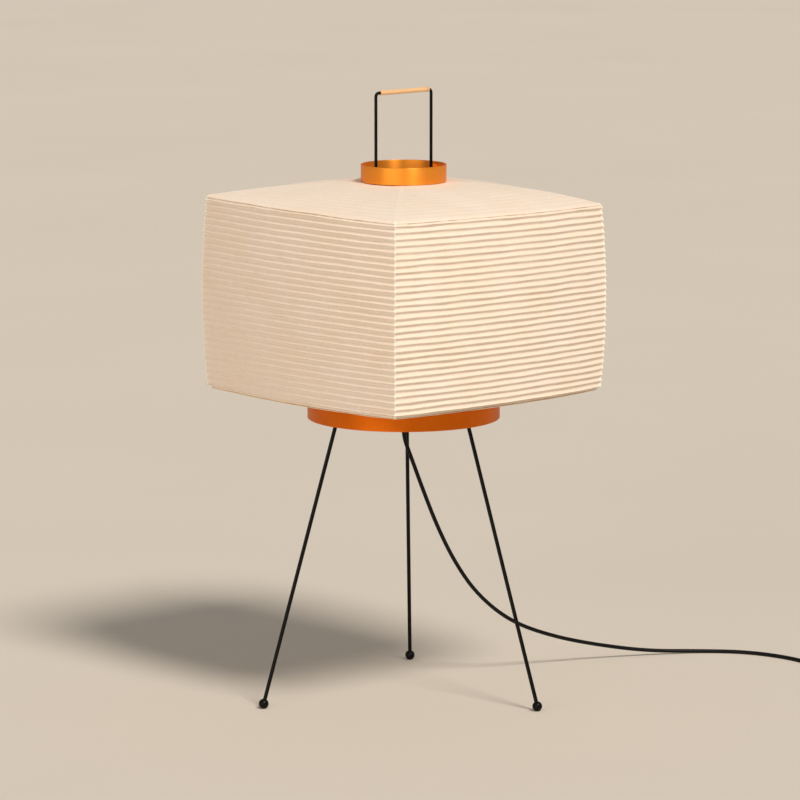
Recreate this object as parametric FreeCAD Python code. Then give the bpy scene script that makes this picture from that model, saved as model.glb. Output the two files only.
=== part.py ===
"""Square paper lamp with bulging sides, two round metal rings and a carrying handle, on three wire legs.

The frame has its origin on the floor under the lamp's axis, +Z up, and the shade's faces square to X and Y.
Every length is in millimetres and every angle in degrees.
"""

import FreeCAD, Part
import math
import os

from FreeCAD import Vector

# Heights, from the floor up
floor_to_ring = 365.0
ring_height = 22.0
lower_rise = 13.5
side_height = 249.0
upper_rise = 21.8
handle_rise = 93.5

# Rings
bottom_ring_radius = 124.5
bottom_ring_wall = 2.2
top_ring_radius = 55.0
top_ring_wall = 2.6

# Shade
half_side = 181.4
barrel = 4.2
side_bulge = 12.2
upper_shoulder = 7.0
lower_shoulder = 5.0
rib_relief = 1.6
top_rib_relief = 0.7
paper_thickness = 0.5
paper_overhang = 0.4
side_rib_count = 29
top_rib_count = 13
bottom_rib_count = 6
chord_count = 4
inner_row_rib_count = 8
dome_power = 1.6
valley_share = 0.36
skew_share = 1e-7

# Wire frame and handle
wire_diameter = 4.0
handle_inset = 4.4
bend_radius = 4.8
grip_diameter = 6.4
grip_slack = 2.4
running_clearance = 0.08

# Ring saddles and the collars that carry them
saddle_width = 9.0
saddle_height = 14.0
saddle_lift = 4.0
collar_diameter = 7.0
collar_height = 4.0

# Leg spider
spider_height = 9.0
plate_thickness = 3.0
hub_radius = 22.0
arm_width = 15.0
arm_end_gap = 7.5
stud_diameter = 3.6
stud_height = 4.0
boss_diameter = 11.0
boss_below = 11.0
boss_above = 4.0

# Ring lugs
lug_width = 12.0
lug_thickness = 1.5
lug_height = 9.0
lug_reach = 18.0

# Legs and feet
leg_angles = {"back": 135.0, "left": 255.0, "right": 15.0}
foot_circle_radius = 203.0
leg_inset = 22.5
leg_diameter = 5.0
foot_diameter = 12.8
foot_flat = 0.2
leg_in_foot = 5.0
leg_nut_flats = 9.0
leg_nut_height = 4.0

# Saddle bar that holds the wire ends
bar_width = 14.0
bar_thickness = 2.5
socket_diameter = 9.0
socket_height = 15.0
grub_diameter = 3.0
grub_length = 5.0

# Threaded tube, nuts and washer in the lamp's axis
nipple_diameter = 10.0
nipple_bore = 7.0
nipple_nut_flats = 14.0
nipple_nut_height = 3.5
washer_diameter = 15.0
washer_thickness = 1.0
nipple_below_nut = 12.0

# Cord grip under the hub
gland_length = 20.0
gland_top_diameter = 15.0
gland_tip_diameter = 8.6
gland_collar = 6.0

# Lampholder
cap_neck_diameter = 16.0
cap_neck_height = 4.0
cap_flare_height = 12.0
cap_rim_height = 5.0
holder_diameter = 40.0
holder_wall = 2.2
spigot_height = 6.0
skirt_height = 40.0
insert_height = 8.0
screw_shell_bore = 26.9
screw_shell_wall = 0.5
screw_shell_height = 22.0
contact_length = 15.0
contact_width = 5.0
contact_thickness = 0.6
contact_rise = 1.8
terminal_diameter = 4.0
terminal_height = 2.4
terminal_spacing = 18.0

# Bulb
bulb_length = 108.0
bulb_diameter = 60.0
bulb_wall = 0.9
bulb_cap_diameter = 26.4
bulb_cap_height = 23.0
bulb_cap_wall = 0.4
bulb_neck_overlap = 6.0
bulb_shoulder_angle = 32.0
tip_diameter = 9.0
tip_height = 1.2
insulator_height = 2.6
contact_gap = 0.2

# Cord
cord_diameter = 5.2
arc_share = 0.45
coil_radius = 33.0
coil_pitch = 5.8
coil_half_turn_count = 3

# Switch in the cord
switch_length = 60.0
switch_width = 25.0
switch_height = 16.0
switch_corner = 6.0
rocker_length = 18.0
rocker_width = 9.0
rocker_drop = 3.4
rocker_rise = 2.2
rocker_tilt = 8.0
rocker_gap = 0.7
axle_diameter = 2.0
axle_length = 13.0
switch_screw_diameter = 4.6
switch_screw_height = 1.6
switch_screw_spacing = 42.0
rocker_well = 2.5

# Plug and tie
plug_length = 35.0
plug_width = 35.3
plug_thickness = 13.7
plug_face_length = 14.0
plug_heel_width = 17.0
plug_boot_length = 24.0
plug_boot_root_diameter = 11.0
plug_boot_tip_diameter = 7.0
pin_diameter = 4.0
pin_tip_length = 9.0
pin_core_diameter = 2.6
pin_sleeve_diameter = 3.8
pin_sleeve_length = 10.0
pin_spacing = 18.6
pin_seat = 8.0
tie_width = 6.0
tie_thickness = 0.4
tie_clearance = 0.2

# Fits
press_clearance = 0.05
slip_clearance = 0.2
seat_gap = 0.1
cut_overrun = 1.0

# How finely round pieces are made
round_facet_count = 20
small_facet_count = 12
wire_facet_count = 12
ball_facet_count = 16
corner_step_count = 3
ball_step_count = 7
bulb_step_count = 6
cord_corner_count = 8
coil_sample_count = 40

# Heights that follow from the driving ones
bottom_ring_top = floor_to_ring + ring_height
side_low = bottom_ring_top + lower_rise
side_high = side_low + side_height
top_ring_low = side_high + upper_rise
top_ring_top = top_ring_low + ring_height
grip_height = top_ring_top + handle_rise
plate_low = floor_to_ring + spider_height
plate_top = plate_low + plate_thickness
bar_top = plate_top + bar_thickness
nut_seat = bar_top + washer_thickness
holder_base = nut_seat + nipple_nut_height
saddle_low = top_ring_low + saddle_lift

# Reaches from the axis that follow from the rings
arm_reach = bottom_ring_radius - arm_end_gap
leg_circle_radius = arm_reach - leg_inset
handle_reach = top_ring_radius - top_ring_wall - handle_inset
straight_reach = handle_reach - bend_radius
grip_length = 2 * straight_reach - grip_slack
cord_radius = cord_diameter / 2
plug_axis_height = plug_thickness / 2

up = Vector(0, 0, 1)
along_x = Vector(1, 0, 0)
along_y = Vector(0, 1, 0)
origin = Vector(0, 0, 0)

# The free cord from the lamp to the switch. Its points lie where the photographed cord runs.
lamp_cord_route = [
    (0, 0, 350.5),
    (0, 0, 338),
    (3, 9, 314),
    (4.5, 29, 268),
    (4.5, 55, 215),
    (3.5, 88, 162),
    (5, 128, 113),
    (9, 186, 69),
    (18, 258, 40),
    (32, 331, 20),
    (56, 400, 6),
    (90, 461, 2.6),
    (138, 504, 2.6),
    (199, 520, 2.6),
    (258, 514, 2.6),
    (308, 502, 4.5),
    (332, 500, 8),
    (352, 500, 8),
]

# The short stretch from the switch to the coil, and the tail from the coil to the plug.
coil_cord_route = [
    (412, 500, 8),
    (432, 500, 8),
    (463, 500, 3.1),
    (494.8, 500, 3.1),
]
plug_cord_route = [
    (494.8, 428.2, 8.9),
    (482, 428.2, 8.9),
    (463, 428.2, 6.85),
    (450, 428.2, 6.85),
]


def export(node, *solids):
    """Write one node's solids as parts/NODE.step."""
    shape = solids[0] if len(solids) == 1 else Part.makeCompound(list(solids))
    shape.exportStep(os.path.join("parts", node + ".step"))


def at_height(height):
    """The point on the lamp's axis at a height."""
    return Vector(0, 0, height)


def around_axis(angle, radius, height):
    """The point at an angle and radius about the lamp's axis."""
    turn = math.radians(angle)
    return Vector(radius * math.cos(turn), radius * math.sin(turn), height)


def box(low, high):
    """An upright box between two opposite corners."""
    size = high - low
    return Part.makeBox(size.x, size.y, size.z, low)


def centred_box(centre, size):
    """An upright box about its centre."""
    return box(centre - size / 2, centre + size / 2)


def tube(outer_diameter, bore_diameter, height, base, axis=up):
    """A round tube that stands on its base point."""
    wall = Part.makeCylinder(outer_diameter / 2, height, base, axis)
    start = base - axis * cut_overrun
    return wall.cut(Part.makeCylinder(bore_diameter / 2, height + 2 * cut_overrun, start, axis))


def hex_nut(across_flats, bore_diameter, height, base, axis=up):
    """A six-sided nut that stands on its base point."""
    corner = across_flats / 2 / math.cos(math.radians(30))
    rim = [around_axis(60 * k, corner, 0) for k in range(7)]
    body = Part.Face(Part.makePolygon(rim)).extrude(up * height)
    body = body.cut(faceted_bore(bore_diameter, height + 2 * cut_overrun, up * -cut_overrun))
    body.Placement = FreeCAD.Placement(base, FreeCAD.Rotation(up, axis))
    return body


def closed_solid(faces):
    """The solid that a closed set of faces bounds, with its faces outward."""
    shell = Part.Shell(faces)
    shell.sewShape()
    solid = Part.Solid(shell)
    if solid.Volume < 0:
        solid.reverse()
    return solid


def turned(outline, base, axis=up, facets=None):
    """A turned piece with flat facets round it, from (radius, height) points above its base point."""
    loop = list(outline) + [outline[0]]
    facets = facets or round_facet_count
    step = 360 / facets
    faces = []
    for (first_radius, first), (next_radius, after) in zip(loop, loop[1:]):
        for k in range(facets):
            ring = [
                around_axis(step * k, first_radius, first),
                around_axis(step * (k + 1), first_radius, first),
                around_axis(step * (k + 1), next_radius, after),
                around_axis(step * k, next_radius, after),
            ]
            corners = [point for i, point in enumerate(ring) if (point - ring[i - 1]).Length > 0]
            if len(corners) > 2:
                faces.append(Part.Face(Part.makePolygon(corners + corners[:1])))
    solid = closed_solid(faces)
    solid.Placement = FreeCAD.Placement(base, FreeCAD.Rotation(up, axis))
    return solid


def round_top(radius, centre, lowest, steps):
    """The (radius, height) points of a ball's outline, from an angle in radians up to its top."""
    points = []
    for k in range(steps):
        turn = lowest + (math.pi / 2 - lowest) * k / steps
        points.append((radius * math.cos(turn), centre + radius * math.sin(turn)))
    return points + [(0, centre + radius)]


def faceted_rim(radius, facets, centre, way):
    """A closed rim with flat facets round a centre, square to a way."""
    rim = Part.makePolygon([around_axis(360 * k / facets, radius, 0) for k in range(facets + 1)])
    rim.Placement = FreeCAD.Placement(centre, FreeCAD.Rotation(up, way))
    return rim


def faceted_tube(outer_diameter, bore_diameter, height, base, axis=up, facets=None):
    """A tube with flat facets round it that stands on its base point."""
    outer, bore = outer_diameter / 2, bore_diameter / 2
    return turned([(bore, 0), (outer, 0), (outer, height), (bore, height)], base, axis, facets)


def faceted_bore(diameter, height, base, axis=up):
    """The shape of a bore with flat facets that touch a circle of its diameter."""
    return faceted_rod(diameter / math.cos(math.pi / small_facet_count), height, base, axis)


def faceted_rod(diameter, height, base, axis=up):
    """A small rod with flat facets round it that stands on its base point."""
    radius = diameter / 2
    return turned([(0, 0), (radius, 0), (radius, height), (0, height)], base, axis, small_facet_count)


def rounded_plate(length, width, height, corner, base):
    """A plate with blunted upright corners, standing on the middle of its underside."""
    reach, side = length / 2, width / 2
    rim = []
    for quarter, (x_way, y_way) in enumerate(((1, 1), (-1, 1), (-1, -1), (1, -1))):
        centre = base + Vector(x_way * (reach - corner), y_way * (side - corner), 0)
        for k in range(corner_step_count + 1):
            rim.append(centre + around_axis(90 * (quarter + k / corner_step_count), corner, 0))
    return Part.Face(Part.makePolygon(rim + rim[:1])).extrude(up * height)


# Shade


def top_bulge(half):
    """How far a side of the upper slope bulges, from a full circle at the ring to the shoulder's bulge."""
    ring_half = (top_ring_radius - top_ring_wall) / math.sqrt(2)
    ring_bulge = (top_ring_radius - top_ring_wall) - ring_half
    share = min((half - ring_half) / (half_side - ring_half), 1)
    return ring_bulge + (side_bulge - ring_bulge) * share


def bottom_bulge(half):
    """How far a side of the lower slope bulges, from a full circle at the ring to the shoulder's bulge."""
    ring_half = (bottom_ring_radius - bottom_ring_wall) / math.sqrt(2)
    ring_bulge = (bottom_ring_radius - bottom_ring_wall) - ring_half
    share = min((half - ring_half) / (half_side - ring_half), 1)
    return ring_bulge + (side_bulge - ring_bulge) * share


def shade_stations():
    """The ribs from the top ring to the bottom ring: half side, height, bulge and relief below each."""
    stations = []
    chord_share = math.cos(math.radians(45 / chord_count))
    inner = (top_ring_radius - top_ring_wall) / math.sqrt(2)
    start = (top_ring_radius / chord_share + paper_overhang) / math.sqrt(2)
    end = half_side - upper_shoulder
    stations.append((inner, top_ring_low, top_bulge(inner), 0))
    for k in range(top_rib_count + 1):
        share = k / top_rib_count
        half = start + (end - start) * share
        height = top_ring_low - upper_rise * share**dome_power
        stations.append((half, height, top_bulge(half), top_rib_relief))
    round_in = upper_shoulder * (1 - math.cos(math.radians(45)))
    stations.append((half_side - round_in, side_high - round_in, side_bulge, rib_relief))
    span = side_height - upper_shoulder - lower_shoulder
    for k in range(side_rib_count + 1):
        share = k / side_rib_count
        half = half_side + barrel * 4 * share * (1 - share)
        bulge = side_bulge * half / half_side
        stations.append((half, side_high - upper_shoulder - span * share, bulge, rib_relief))
    inner = (bottom_ring_radius - bottom_ring_wall) / math.sqrt(2)
    start = (bottom_ring_radius / chord_share + paper_overhang) / math.sqrt(2)
    end = half_side - lower_shoulder
    for k in range(bottom_rib_count + 1):
        share = k / bottom_rib_count
        half = end + (start - end) * share
        relief = top_rib_relief if k < bottom_rib_count else 0
        stations.append((half, side_low - lower_rise * share, bottom_bulge(half), relief))
    stations.append((inner, bottom_ring_top, bottom_bulge(inner), 0))
    return stations


def inward(stations, k):
    """The inward normal of the shade's outline at a rib, in (half side, height)."""
    first = stations[max(k - 1, 0)]
    last = stations[min(k + 1, len(stations) - 1)]
    run = (last[0] - first[0], last[1] - first[1])
    length = math.hypot(*run)
    return run[1] / length, -run[0] / length


def side_row(half, height, bulge):
    """One side of one row, from corner to corner about +X, as an open line of equal chords on an arc."""
    radius = (half * half + bulge * bulge) / (2 * bulge)
    reach = math.asin(min(half / radius, 1))
    points = []
    for k in range(chord_count + 1):
        turn = reach * (2 * k / chord_count - 1)
        points.append(Vector(half + bulge - radius * (1 - math.cos(turn)), radius * math.sin(turn), height))
    return points


def shade_rows():
    """The rows round one panel's section: down the ribbed outside and back up the smooth inside."""
    stations = shade_stations()
    last = len(stations) - 1
    wall = rib_relief + paper_thickness
    outside = []
    for k, (half, height, bulge, relief) in enumerate(stations):
        outside.append(side_row(half, height, bulge))
        if relief and k < last:
            below = stations[k + 1]
            normal = inward(stations, k)
            mix = [a + (b - a) * valley_share for a, b in zip(stations[k][:3], below[:3])]
            valley = mix[0] + normal[0] * relief
            outside.append(side_row(valley, mix[1] + normal[1] * relief, mix[2] * valley / mix[0]))
    inside = []
    for k, (half, height, bulge, relief) in enumerate(stations):
        near_turn = abs(k - top_rib_count - 2) < 2 or abs(k - top_rib_count - side_rib_count - 4) < 2
        if k in (0, 1, last - 1, last) or near_turn or k % inner_row_rib_count == 0:
            normal = (0, -1) if k < 2 else (0, 1) if k > last - 2 else inward(stations, k)
            inner = half + normal[0] * wall
            inside.append(side_row(inner, height + normal[1] * wall, bulge * inner / half))
    return outside, inside


def patch_faces(first, second, third, fourth):
    """The face between two chords, or its two halves where the chords lie askew."""
    edge = second - first
    skew = edge.cross(third - first).dot(fourth - first)
    if abs(skew) < skew_share * edge.Length**3:
        return [Part.Face(Part.makePolygon([first, second, third, fourth, first]))]
    halves = [(first, second, third, first), (first, third, fourth, first)]
    return [Part.Face(Part.makePolygon(list(half))) for half in halves]


def shade_panel():
    """The panel that faces +X: a thin shell, ribbed outside and smooth inside, cut on the corner planes."""
    outside, inside = shade_rows()
    section = outside + inside[::-1]
    faces = []
    for row, following in zip(section, section[1:] + section[:1]):
        for k in range(chord_count):
            faces += patch_faces(row[k], row[k + 1], following[k + 1], following[k])
    for corner in (0, chord_count):
        rim = [row[corner] for row in section]
        faces.append(Part.Face(Part.makePolygon(rim + rim[:1])))
    return closed_solid(faces)


def make_shade():
    """The four glued paper panels, each a quarter turn from the last."""
    panel = shade_panel()
    for k, name in enumerate(("right", "back", "left", "front")):
        turned = panel.copy()
        turned.rotate(origin, up, 90 * k)
        export("paper_panel_" + name, turned)


def make_rings():
    """The two round rings, the lugs inside the lower one and the wire saddles inside the upper one."""
    bore = 2 * (bottom_ring_radius - bottom_ring_wall)
    export("bottom_ring", tube(2 * bottom_ring_radius, bore, ring_height, at_height(floor_to_ring)))
    bore = 2 * (top_ring_radius - top_ring_wall)
    export("top_ring", tube(2 * top_ring_radius, bore, ring_height, at_height(top_ring_low)))

    wall_radius = bottom_ring_radius - bottom_ring_wall - seat_gap
    face_reach = math.sqrt(wall_radius**2 - (lug_width / 2) ** 2)
    lugs = []
    for angle in leg_angles.values():
        low = Vector(face_reach - lug_thickness, -lug_width / 2, plate_top)
        upright = Part.makeBox(lug_thickness, lug_width, lug_height, low)
        low = Vector(face_reach - lug_reach, -lug_width / 2, plate_top)
        tongue = Part.makeBox(lug_reach, lug_width, lug_thickness, low)
        hole = faceted_bore(stud_diameter + 2 * slip_clearance, stud_height, stud_base())
        lug = upright.fuse(tongue).removeSplitter().cut(hole)
        lug.rotate(origin, up, angle)
        lugs.append(lug)
    export("ring_lugs", *lugs)

    wall_radius = top_ring_radius - top_ring_wall - seat_gap
    pad = Part.makeCylinder(wall_radius, saddle_height, at_height(saddle_low))
    pad = pad.common(
        box(
            Vector(-saddle_width / 2, handle_reach, saddle_low),
            Vector(saddle_width / 2, wall_radius, saddle_low + saddle_height),
        )
    )
    groove_base = Vector(0, handle_reach, saddle_low)
    pad = pad.cut(Part.makeCylinder(wire_diameter / 2 + slip_clearance, saddle_height, groove_base))
    export("ring_saddles", pad, pad.mirror(origin, along_y))


# Leg spider, legs and feet


def stud_base():
    """The foot of the locating stud at the end of the arm that points along +X."""
    return Vector(arm_reach - arm_width / 2, 0, plate_top)


def leg_axis(angle):
    """A leg's direction, from its foot up to the spider."""
    foot = around_axis(angle, foot_circle_radius, foot_diameter / 2 - foot_flat)
    head = around_axis(angle, leg_circle_radius, plate_low)
    return (head - foot).normalize()


def leg_point(angle, height):
    """The point on a leg's centreline at a height."""
    foot = around_axis(angle, foot_circle_radius, foot_diameter / 2 - foot_flat)
    axis = leg_axis(angle)
    return foot + axis * ((height - foot.z) / axis.z)


def make_spider():
    """The pressed hub with three arms, a locating stud on each and a sloping boss for each leg."""
    spider = Part.makeCylinder(hub_radius, plate_thickness, at_height(plate_low))
    for angle in leg_angles.values():
        low = Vector(0, -arm_width / 2, plate_low)
        arm = Part.makeBox(arm_reach - arm_width / 2, arm_width, plate_thickness, low)
        tip = faceted_rod(arm_width, plate_thickness, stud_base() - up * plate_thickness)
        stud = faceted_rod(stud_diameter, stud_height, stud_base())
        arm = arm.fuse([tip, stud])
        arm.rotate(origin, up, angle)
        axis = leg_axis(angle)
        base = leg_point(angle, plate_low - boss_below)
        length = (leg_point(angle, plate_top + boss_above) - base).Length
        spider = spider.fuse([arm, faceted_rod(boss_diameter, length, base, axis)])
    spider = spider.removeSplitter()
    for angle in leg_angles.values():
        axis = leg_axis(angle)
        base = leg_point(angle, plate_low - boss_below) - axis * cut_overrun
        length = (leg_point(angle, plate_top + boss_above) - base).Length + cut_overrun
        spider = spider.cut(faceted_bore(leg_diameter + 2 * press_clearance, length, base, axis))
    hole = faceted_bore(nipple_diameter + 2 * press_clearance, plate_thickness, at_height(plate_low))
    export("leg_spider", spider.cut(hole))


def ball_outline():
    """Half of a foot ball's outline, from the flat it rests on up to its top."""
    radius = foot_diameter / 2
    low_turn = math.asin(foot_flat / radius - 1)
    return [(0, 0)] + round_top(radius, radius - foot_flat, low_turn, ball_step_count)


def make_legs():
    """The three wire legs, the ball on each foot and the nut under each boss."""
    feet, nuts = [], []
    for name, angle in leg_angles.items():
        axis = leg_axis(angle)
        centre = around_axis(angle, foot_circle_radius, foot_diameter / 2 - foot_flat)
        start = centre + axis * (foot_diameter / 2 - leg_in_foot)
        end = leg_point(angle, plate_top + boss_above)
        export("leg_" + name, Part.makeCylinder(leg_diameter / 2, (end - start).Length, start, axis))
        ball = turned(ball_outline(), Vector(centre.x, centre.y, 0), up, ball_facet_count)
        feet.append(ball.cut(faceted_bore(leg_diameter + 2 * press_clearance, foot_diameter, start, axis)))
        base = leg_point(angle, plate_low - boss_below) - axis * leg_nut_height
        nuts.append(hex_nut(leg_nut_flats, leg_diameter + 2 * press_clearance, leg_nut_height, base, axis))
    export("ball_feet", *feet)
    export("leg_nuts", *nuts)


# Saddle bar, wire and grip


def make_saddle_bar():
    """The flat bar across the hub, with a round socket and a grub screw for each end of the wire."""
    length = 2 * handle_reach + socket_diameter
    bar = centred_box(at_height(plate_top + bar_thickness / 2), Vector(bar_width, length, bar_thickness))
    screws = []
    for side in (-1, 1):
        base = Vector(0, side * handle_reach, bar_top)
        socket = faceted_rod(socket_diameter, socket_height, base)
        bar = bar.fuse(socket)
    bar = bar.removeSplitter()
    for side in (-1, 1):
        base = Vector(0, side * handle_reach, bar_top)
        bar = bar.cut(faceted_bore(wire_diameter + 2 * press_clearance, socket_height, base))
        outward = along_y * side
        entry = base + up * (socket_height / 2) + outward * (wire_diameter / 2 + press_clearance)
        bar = bar.cut(faceted_bore(grub_diameter + 2 * press_clearance, socket_diameter, entry, outward))
        screws.append(faceted_rod(grub_diameter, grub_length, entry, outward))
    hole = faceted_bore(nipple_diameter + 2 * press_clearance, bar_thickness, at_height(plate_top))
    export("saddle_bar", bar.cut(hole))
    export("grub_screws", *screws)


def make_wire():
    """The wire that rises from both sockets and crosses over as the handle, with its two stop collars."""
    knee = bend_radius * math.cos(math.radians(45))
    shoulder = grip_height - bend_radius
    low = [Vector(0, side * handle_reach, bar_top) for side in (-1, 1)]
    high = [Vector(0, side * handle_reach, shoulder) for side in (-1, 1)]
    middle = [Vector(0, side * (straight_reach + knee), shoulder + knee) for side in (-1, 1)]
    across = [Vector(0, side * straight_reach, grip_height) for side in (-1, 1)]
    path = Part.Wire(
        [
            Part.LineSegment(low[0], high[0]).toShape(),
            Part.Arc(high[0], middle[0], across[0]).toShape(),
            Part.LineSegment(across[0], across[1]).toShape(),
            Part.Arc(across[1], middle[1], high[1]).toShape(),
            Part.LineSegment(high[1], low[1]).toShape(),
        ]
    )
    section = faceted_rim(wire_diameter / 2, wire_facet_count, low[0], up)
    export("frame_wire", path.makePipeShell([section], True, False))

    base = saddle_low - seat_gap - collar_height
    bore = wire_diameter + 2 * press_clearance
    feet = [Vector(0, side * handle_reach, base) for side in (-1, 1)]
    collars = [
        faceted_tube(collar_diameter, bore, collar_height, foot, up, small_facet_count) for foot in feet
    ]
    export("stop_collars", *collars)


def make_grip():
    """The cane grip that turns on the top of the wire."""
    base = Vector(0, straight_reach - grip_length, grip_height)
    bore = wire_diameter + 2 * running_clearance
    export("handle_grip", tube(grip_diameter, bore, grip_length, base, along_y))


# Threaded tube, cord grip and lampholder


def make_nipple():
    """The threaded tube that clamps the hub, bar and lampholder together, with its nuts and washer."""
    low = plate_low - nipple_nut_height - nipple_below_nut
    top = holder_base + cap_neck_height + cap_flare_height / 2
    export("threaded_tube", faceted_tube(nipple_diameter, nipple_bore, top - low, at_height(low)))
    bore = nipple_diameter + 2 * press_clearance
    lower = hex_nut(nipple_nut_flats, bore, nipple_nut_height, at_height(plate_low - nipple_nut_height))
    upper = hex_nut(nipple_nut_flats, bore, nipple_nut_height, at_height(nut_seat))
    export("tube_nuts", lower, upper)
    export("lock_washer", faceted_tube(washer_diameter, bore, washer_thickness, at_height(bar_top)))


def make_gland():
    """The tapered cord grip screwed on the lower end of the threaded tube."""
    top = plate_low - nipple_nut_height
    thread = nipple_diameter / 2 / math.cos(math.pi / round_facet_count) + press_clearance
    outline = [
        (0, -gland_length),
        (gland_tip_diameter / 2, -gland_length),
        (gland_top_diameter / 2, -gland_collar),
        (gland_top_diameter / 2, 0),
        (thread, 0),
        (thread, -nipple_below_nut),
        (0, -nipple_below_nut),
    ]
    export("cord_grip", turned(outline, at_height(top)))


def make_lampholder():
    """The lampholder: cap, skirt, porcelain insert, screw shell, centre contact and terminal screws."""
    outer = holder_diameter / 2
    inner = outer - holder_wall
    neck = cap_neck_diameter / 2
    bore = nipple_diameter / 2 + press_clearance
    flare_top = cap_neck_height + cap_flare_height
    rim_top = flare_top + cap_rim_height
    spigot_top = rim_top + spigot_height
    outline = [
        (bore, 0),
        (neck, 0),
        (neck, cap_neck_height),
        (outer, flare_top),
        (outer, rim_top),
        (inner - press_clearance, rim_top),
        (inner - press_clearance, spigot_top),
        (inner - holder_wall, spigot_top),
        (inner - holder_wall, flare_top),
        (neck - holder_wall / 2, cap_neck_height + holder_wall),
        (bore, cap_neck_height + holder_wall),
    ]
    export("holder_cap", turned(outline, at_height(holder_base)))

    skirt_base = holder_base + rim_top
    export("holder_skirt", faceted_tube(holder_diameter, 2 * inner, skirt_height, at_height(skirt_base)))

    insert_base = holder_base + spigot_top
    insert_radius = inner - slip_clearance
    outline = [(0, 0), (insert_radius, 0), (insert_radius, insert_height), (0, insert_height)]
    export("porcelain_insert", turned(outline, at_height(insert_base)))

    insert_top = insert_base + insert_height
    shell = screw_shell_bore + 2 * screw_shell_wall
    export("screw_shell", faceted_tube(shell, screw_shell_bore, screw_shell_height, at_height(insert_top)))

    strip = centred_box(
        at_height(insert_top + contact_thickness / 2),
        Vector(contact_length, contact_width, contact_thickness),
    )
    bump_outline = [(0, 0), (contact_width / 2, 0), (contact_width / 4, contact_rise), (0, contact_rise)]
    bump = turned(bump_outline, at_height(insert_top))
    export("centre_contact", strip.fuse(bump).removeSplitter())

    screws = []
    for side in (-1, 1):
        base = Vector(side * terminal_spacing / 2, 0, insert_base - terminal_height)
        screws.append(faceted_rod(terminal_diameter, terminal_height, base))
    export("terminal_screws", *screws)
    return insert_top + contact_rise


def make_bulb(contact_top):
    """The bulb: solder tip, insulator, screw cap and hollow globe."""
    tip_base = contact_top + contact_gap
    tip = tip_diameter / 2
    cap = bulb_cap_diameter / 2
    cap_base = tip_base + tip_height + insulator_height
    outline = [(0, 0), (tip * valley_share, 0), (tip, tip_height), (0, tip_height)]
    export("bulb_tip", turned(outline, at_height(tip_base)))
    outline = [(0, 0), (tip, 0), (cap, insulator_height), (0, insulator_height)]
    export("bulb_insulator", turned(outline, at_height(tip_base + tip_height)))
    bore = 2 * (cap - bulb_cap_wall)
    export("bulb_cap", faceted_tube(bulb_cap_diameter, bore, bulb_cap_height, at_height(cap_base)))

    globe = bulb_diameter / 2
    neck = cap - bulb_cap_wall - press_clearance
    neck_base = cap_base + bulb_cap_height - bulb_neck_overlap
    globe_centre = tip_base + bulb_length - globe
    lowest = math.radians(-bulb_shoulder_angle)
    outside = [(neck, neck_base), (neck, cap_base + bulb_cap_height)]
    outside += round_top(globe, globe_centre, lowest, bulb_step_count)
    inside = [(neck - bulb_wall, neck_base), (neck - bulb_wall, cap_base + bulb_cap_height)]
    inside += round_top(globe - bulb_wall, globe_centre, lowest, bulb_step_count)
    export("bulb_globe", turned(outside + inside[::-1], origin))


# Cord, switch, plug and tie


def filleted_path(points, name):
    """A wire of straight runs with an arc at each corner, as wide as the shorter run beside it allows."""
    corners = [Vector(*p) for p in points]
    edges, radii = [], []
    start = corners[0]
    for before, corner, after in zip(corners, corners[1:], corners[2:]):
        run_in = corner - before
        run_out = after - corner
        turn = run_in.getAngle(run_out)
        reach = arc_share * min(run_in.Length, run_out.Length)
        radius = reach / math.tan(turn / 2)
        arrive = corner - run_in.normalize() * reach
        leave = corner + run_out.normalize() * reach
        inward_way = (arrive + leave) / 2 - corner
        depth = radius / math.cos(turn / 2) - radius
        middle = corner + inward_way.normalize() * depth
        edges.append(Part.LineSegment(start, arrive).toShape())
        edges.append(Part.Arc(arrive, middle, leave).toShape())
        radii.append(round(radius))
        start = leave
    edges.append(Part.LineSegment(start, corners[-1]).toShape())
    print(name, "radii", radii)
    return Part.Wire(edges)


def cord_section(start, way):
    """The cord's eight-sided section at its start, square to its way."""
    return faceted_rim(cord_radius, cord_corner_count, start, way)


def ideal_volume(path):
    """The volume of a straight cord as long as the path."""
    return cord_corner_count / 2 * cord_radius**2 * math.sin(2 * math.pi / cord_corner_count) * path.Length


def free_cord(node, points):
    """A free stretch of cord along its route."""
    path = filleted_path(points, node)
    start = Vector(*points[0])
    solid = path.makePipeShell([cord_section(start, Vector(*points[1]) - start)], True, False)
    print(node, "length", round(path.Length, 1), "volume share", round(solid.Volume / ideal_volume(path), 4))
    export(node, solid)


def coil_arcs():
    """The coil's half turns, as (start, middle, end) points: in along the floor layer, up, and out again."""
    low = coil_cord_route[-1][2]
    high = low + coil_pitch
    inwards = [coil_radius - coil_pitch / 2 * k for k in range(coil_half_turn_count)]
    climb = inwards[-1] - coil_pitch / 2
    radii = inwards + [climb] + inwards[::-1]
    point = Vector(*coil_cord_route[-1]) + along_x * cord_diameter
    arcs = []
    for k, radius in enumerate(radii):
        down = -1 if k % 2 == 0 else 1
        level = low if k < coil_half_turn_count else high
        end = Vector(point.x, point.y + down * 2 * radius, level)
        side = math.hypot(radius, (end.z - point.z) / 2)
        middle = (point + end) / 2 - along_x * (down * side)
        arcs.append((point, middle, end))
        point = end
    return arcs


def coil_gap(arcs):
    """The least gap between two turns of the coil that aren't neighbours along it, measured on points."""
    points = []
    for start, middle, end in arcs:
        centre = (start + end) / 2
        for k in range(coil_sample_count):
            turn = math.pi * k / coil_sample_count
            points.append(centre + (start - centre) * math.cos(turn) + (middle - centre) * math.sin(turn))
    least = coil_radius
    for i, first in enumerate(points):
        for second in points[i + coil_sample_count:]:
            least = min(least, (first - second).Length)
    return least - cord_diameter


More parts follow.
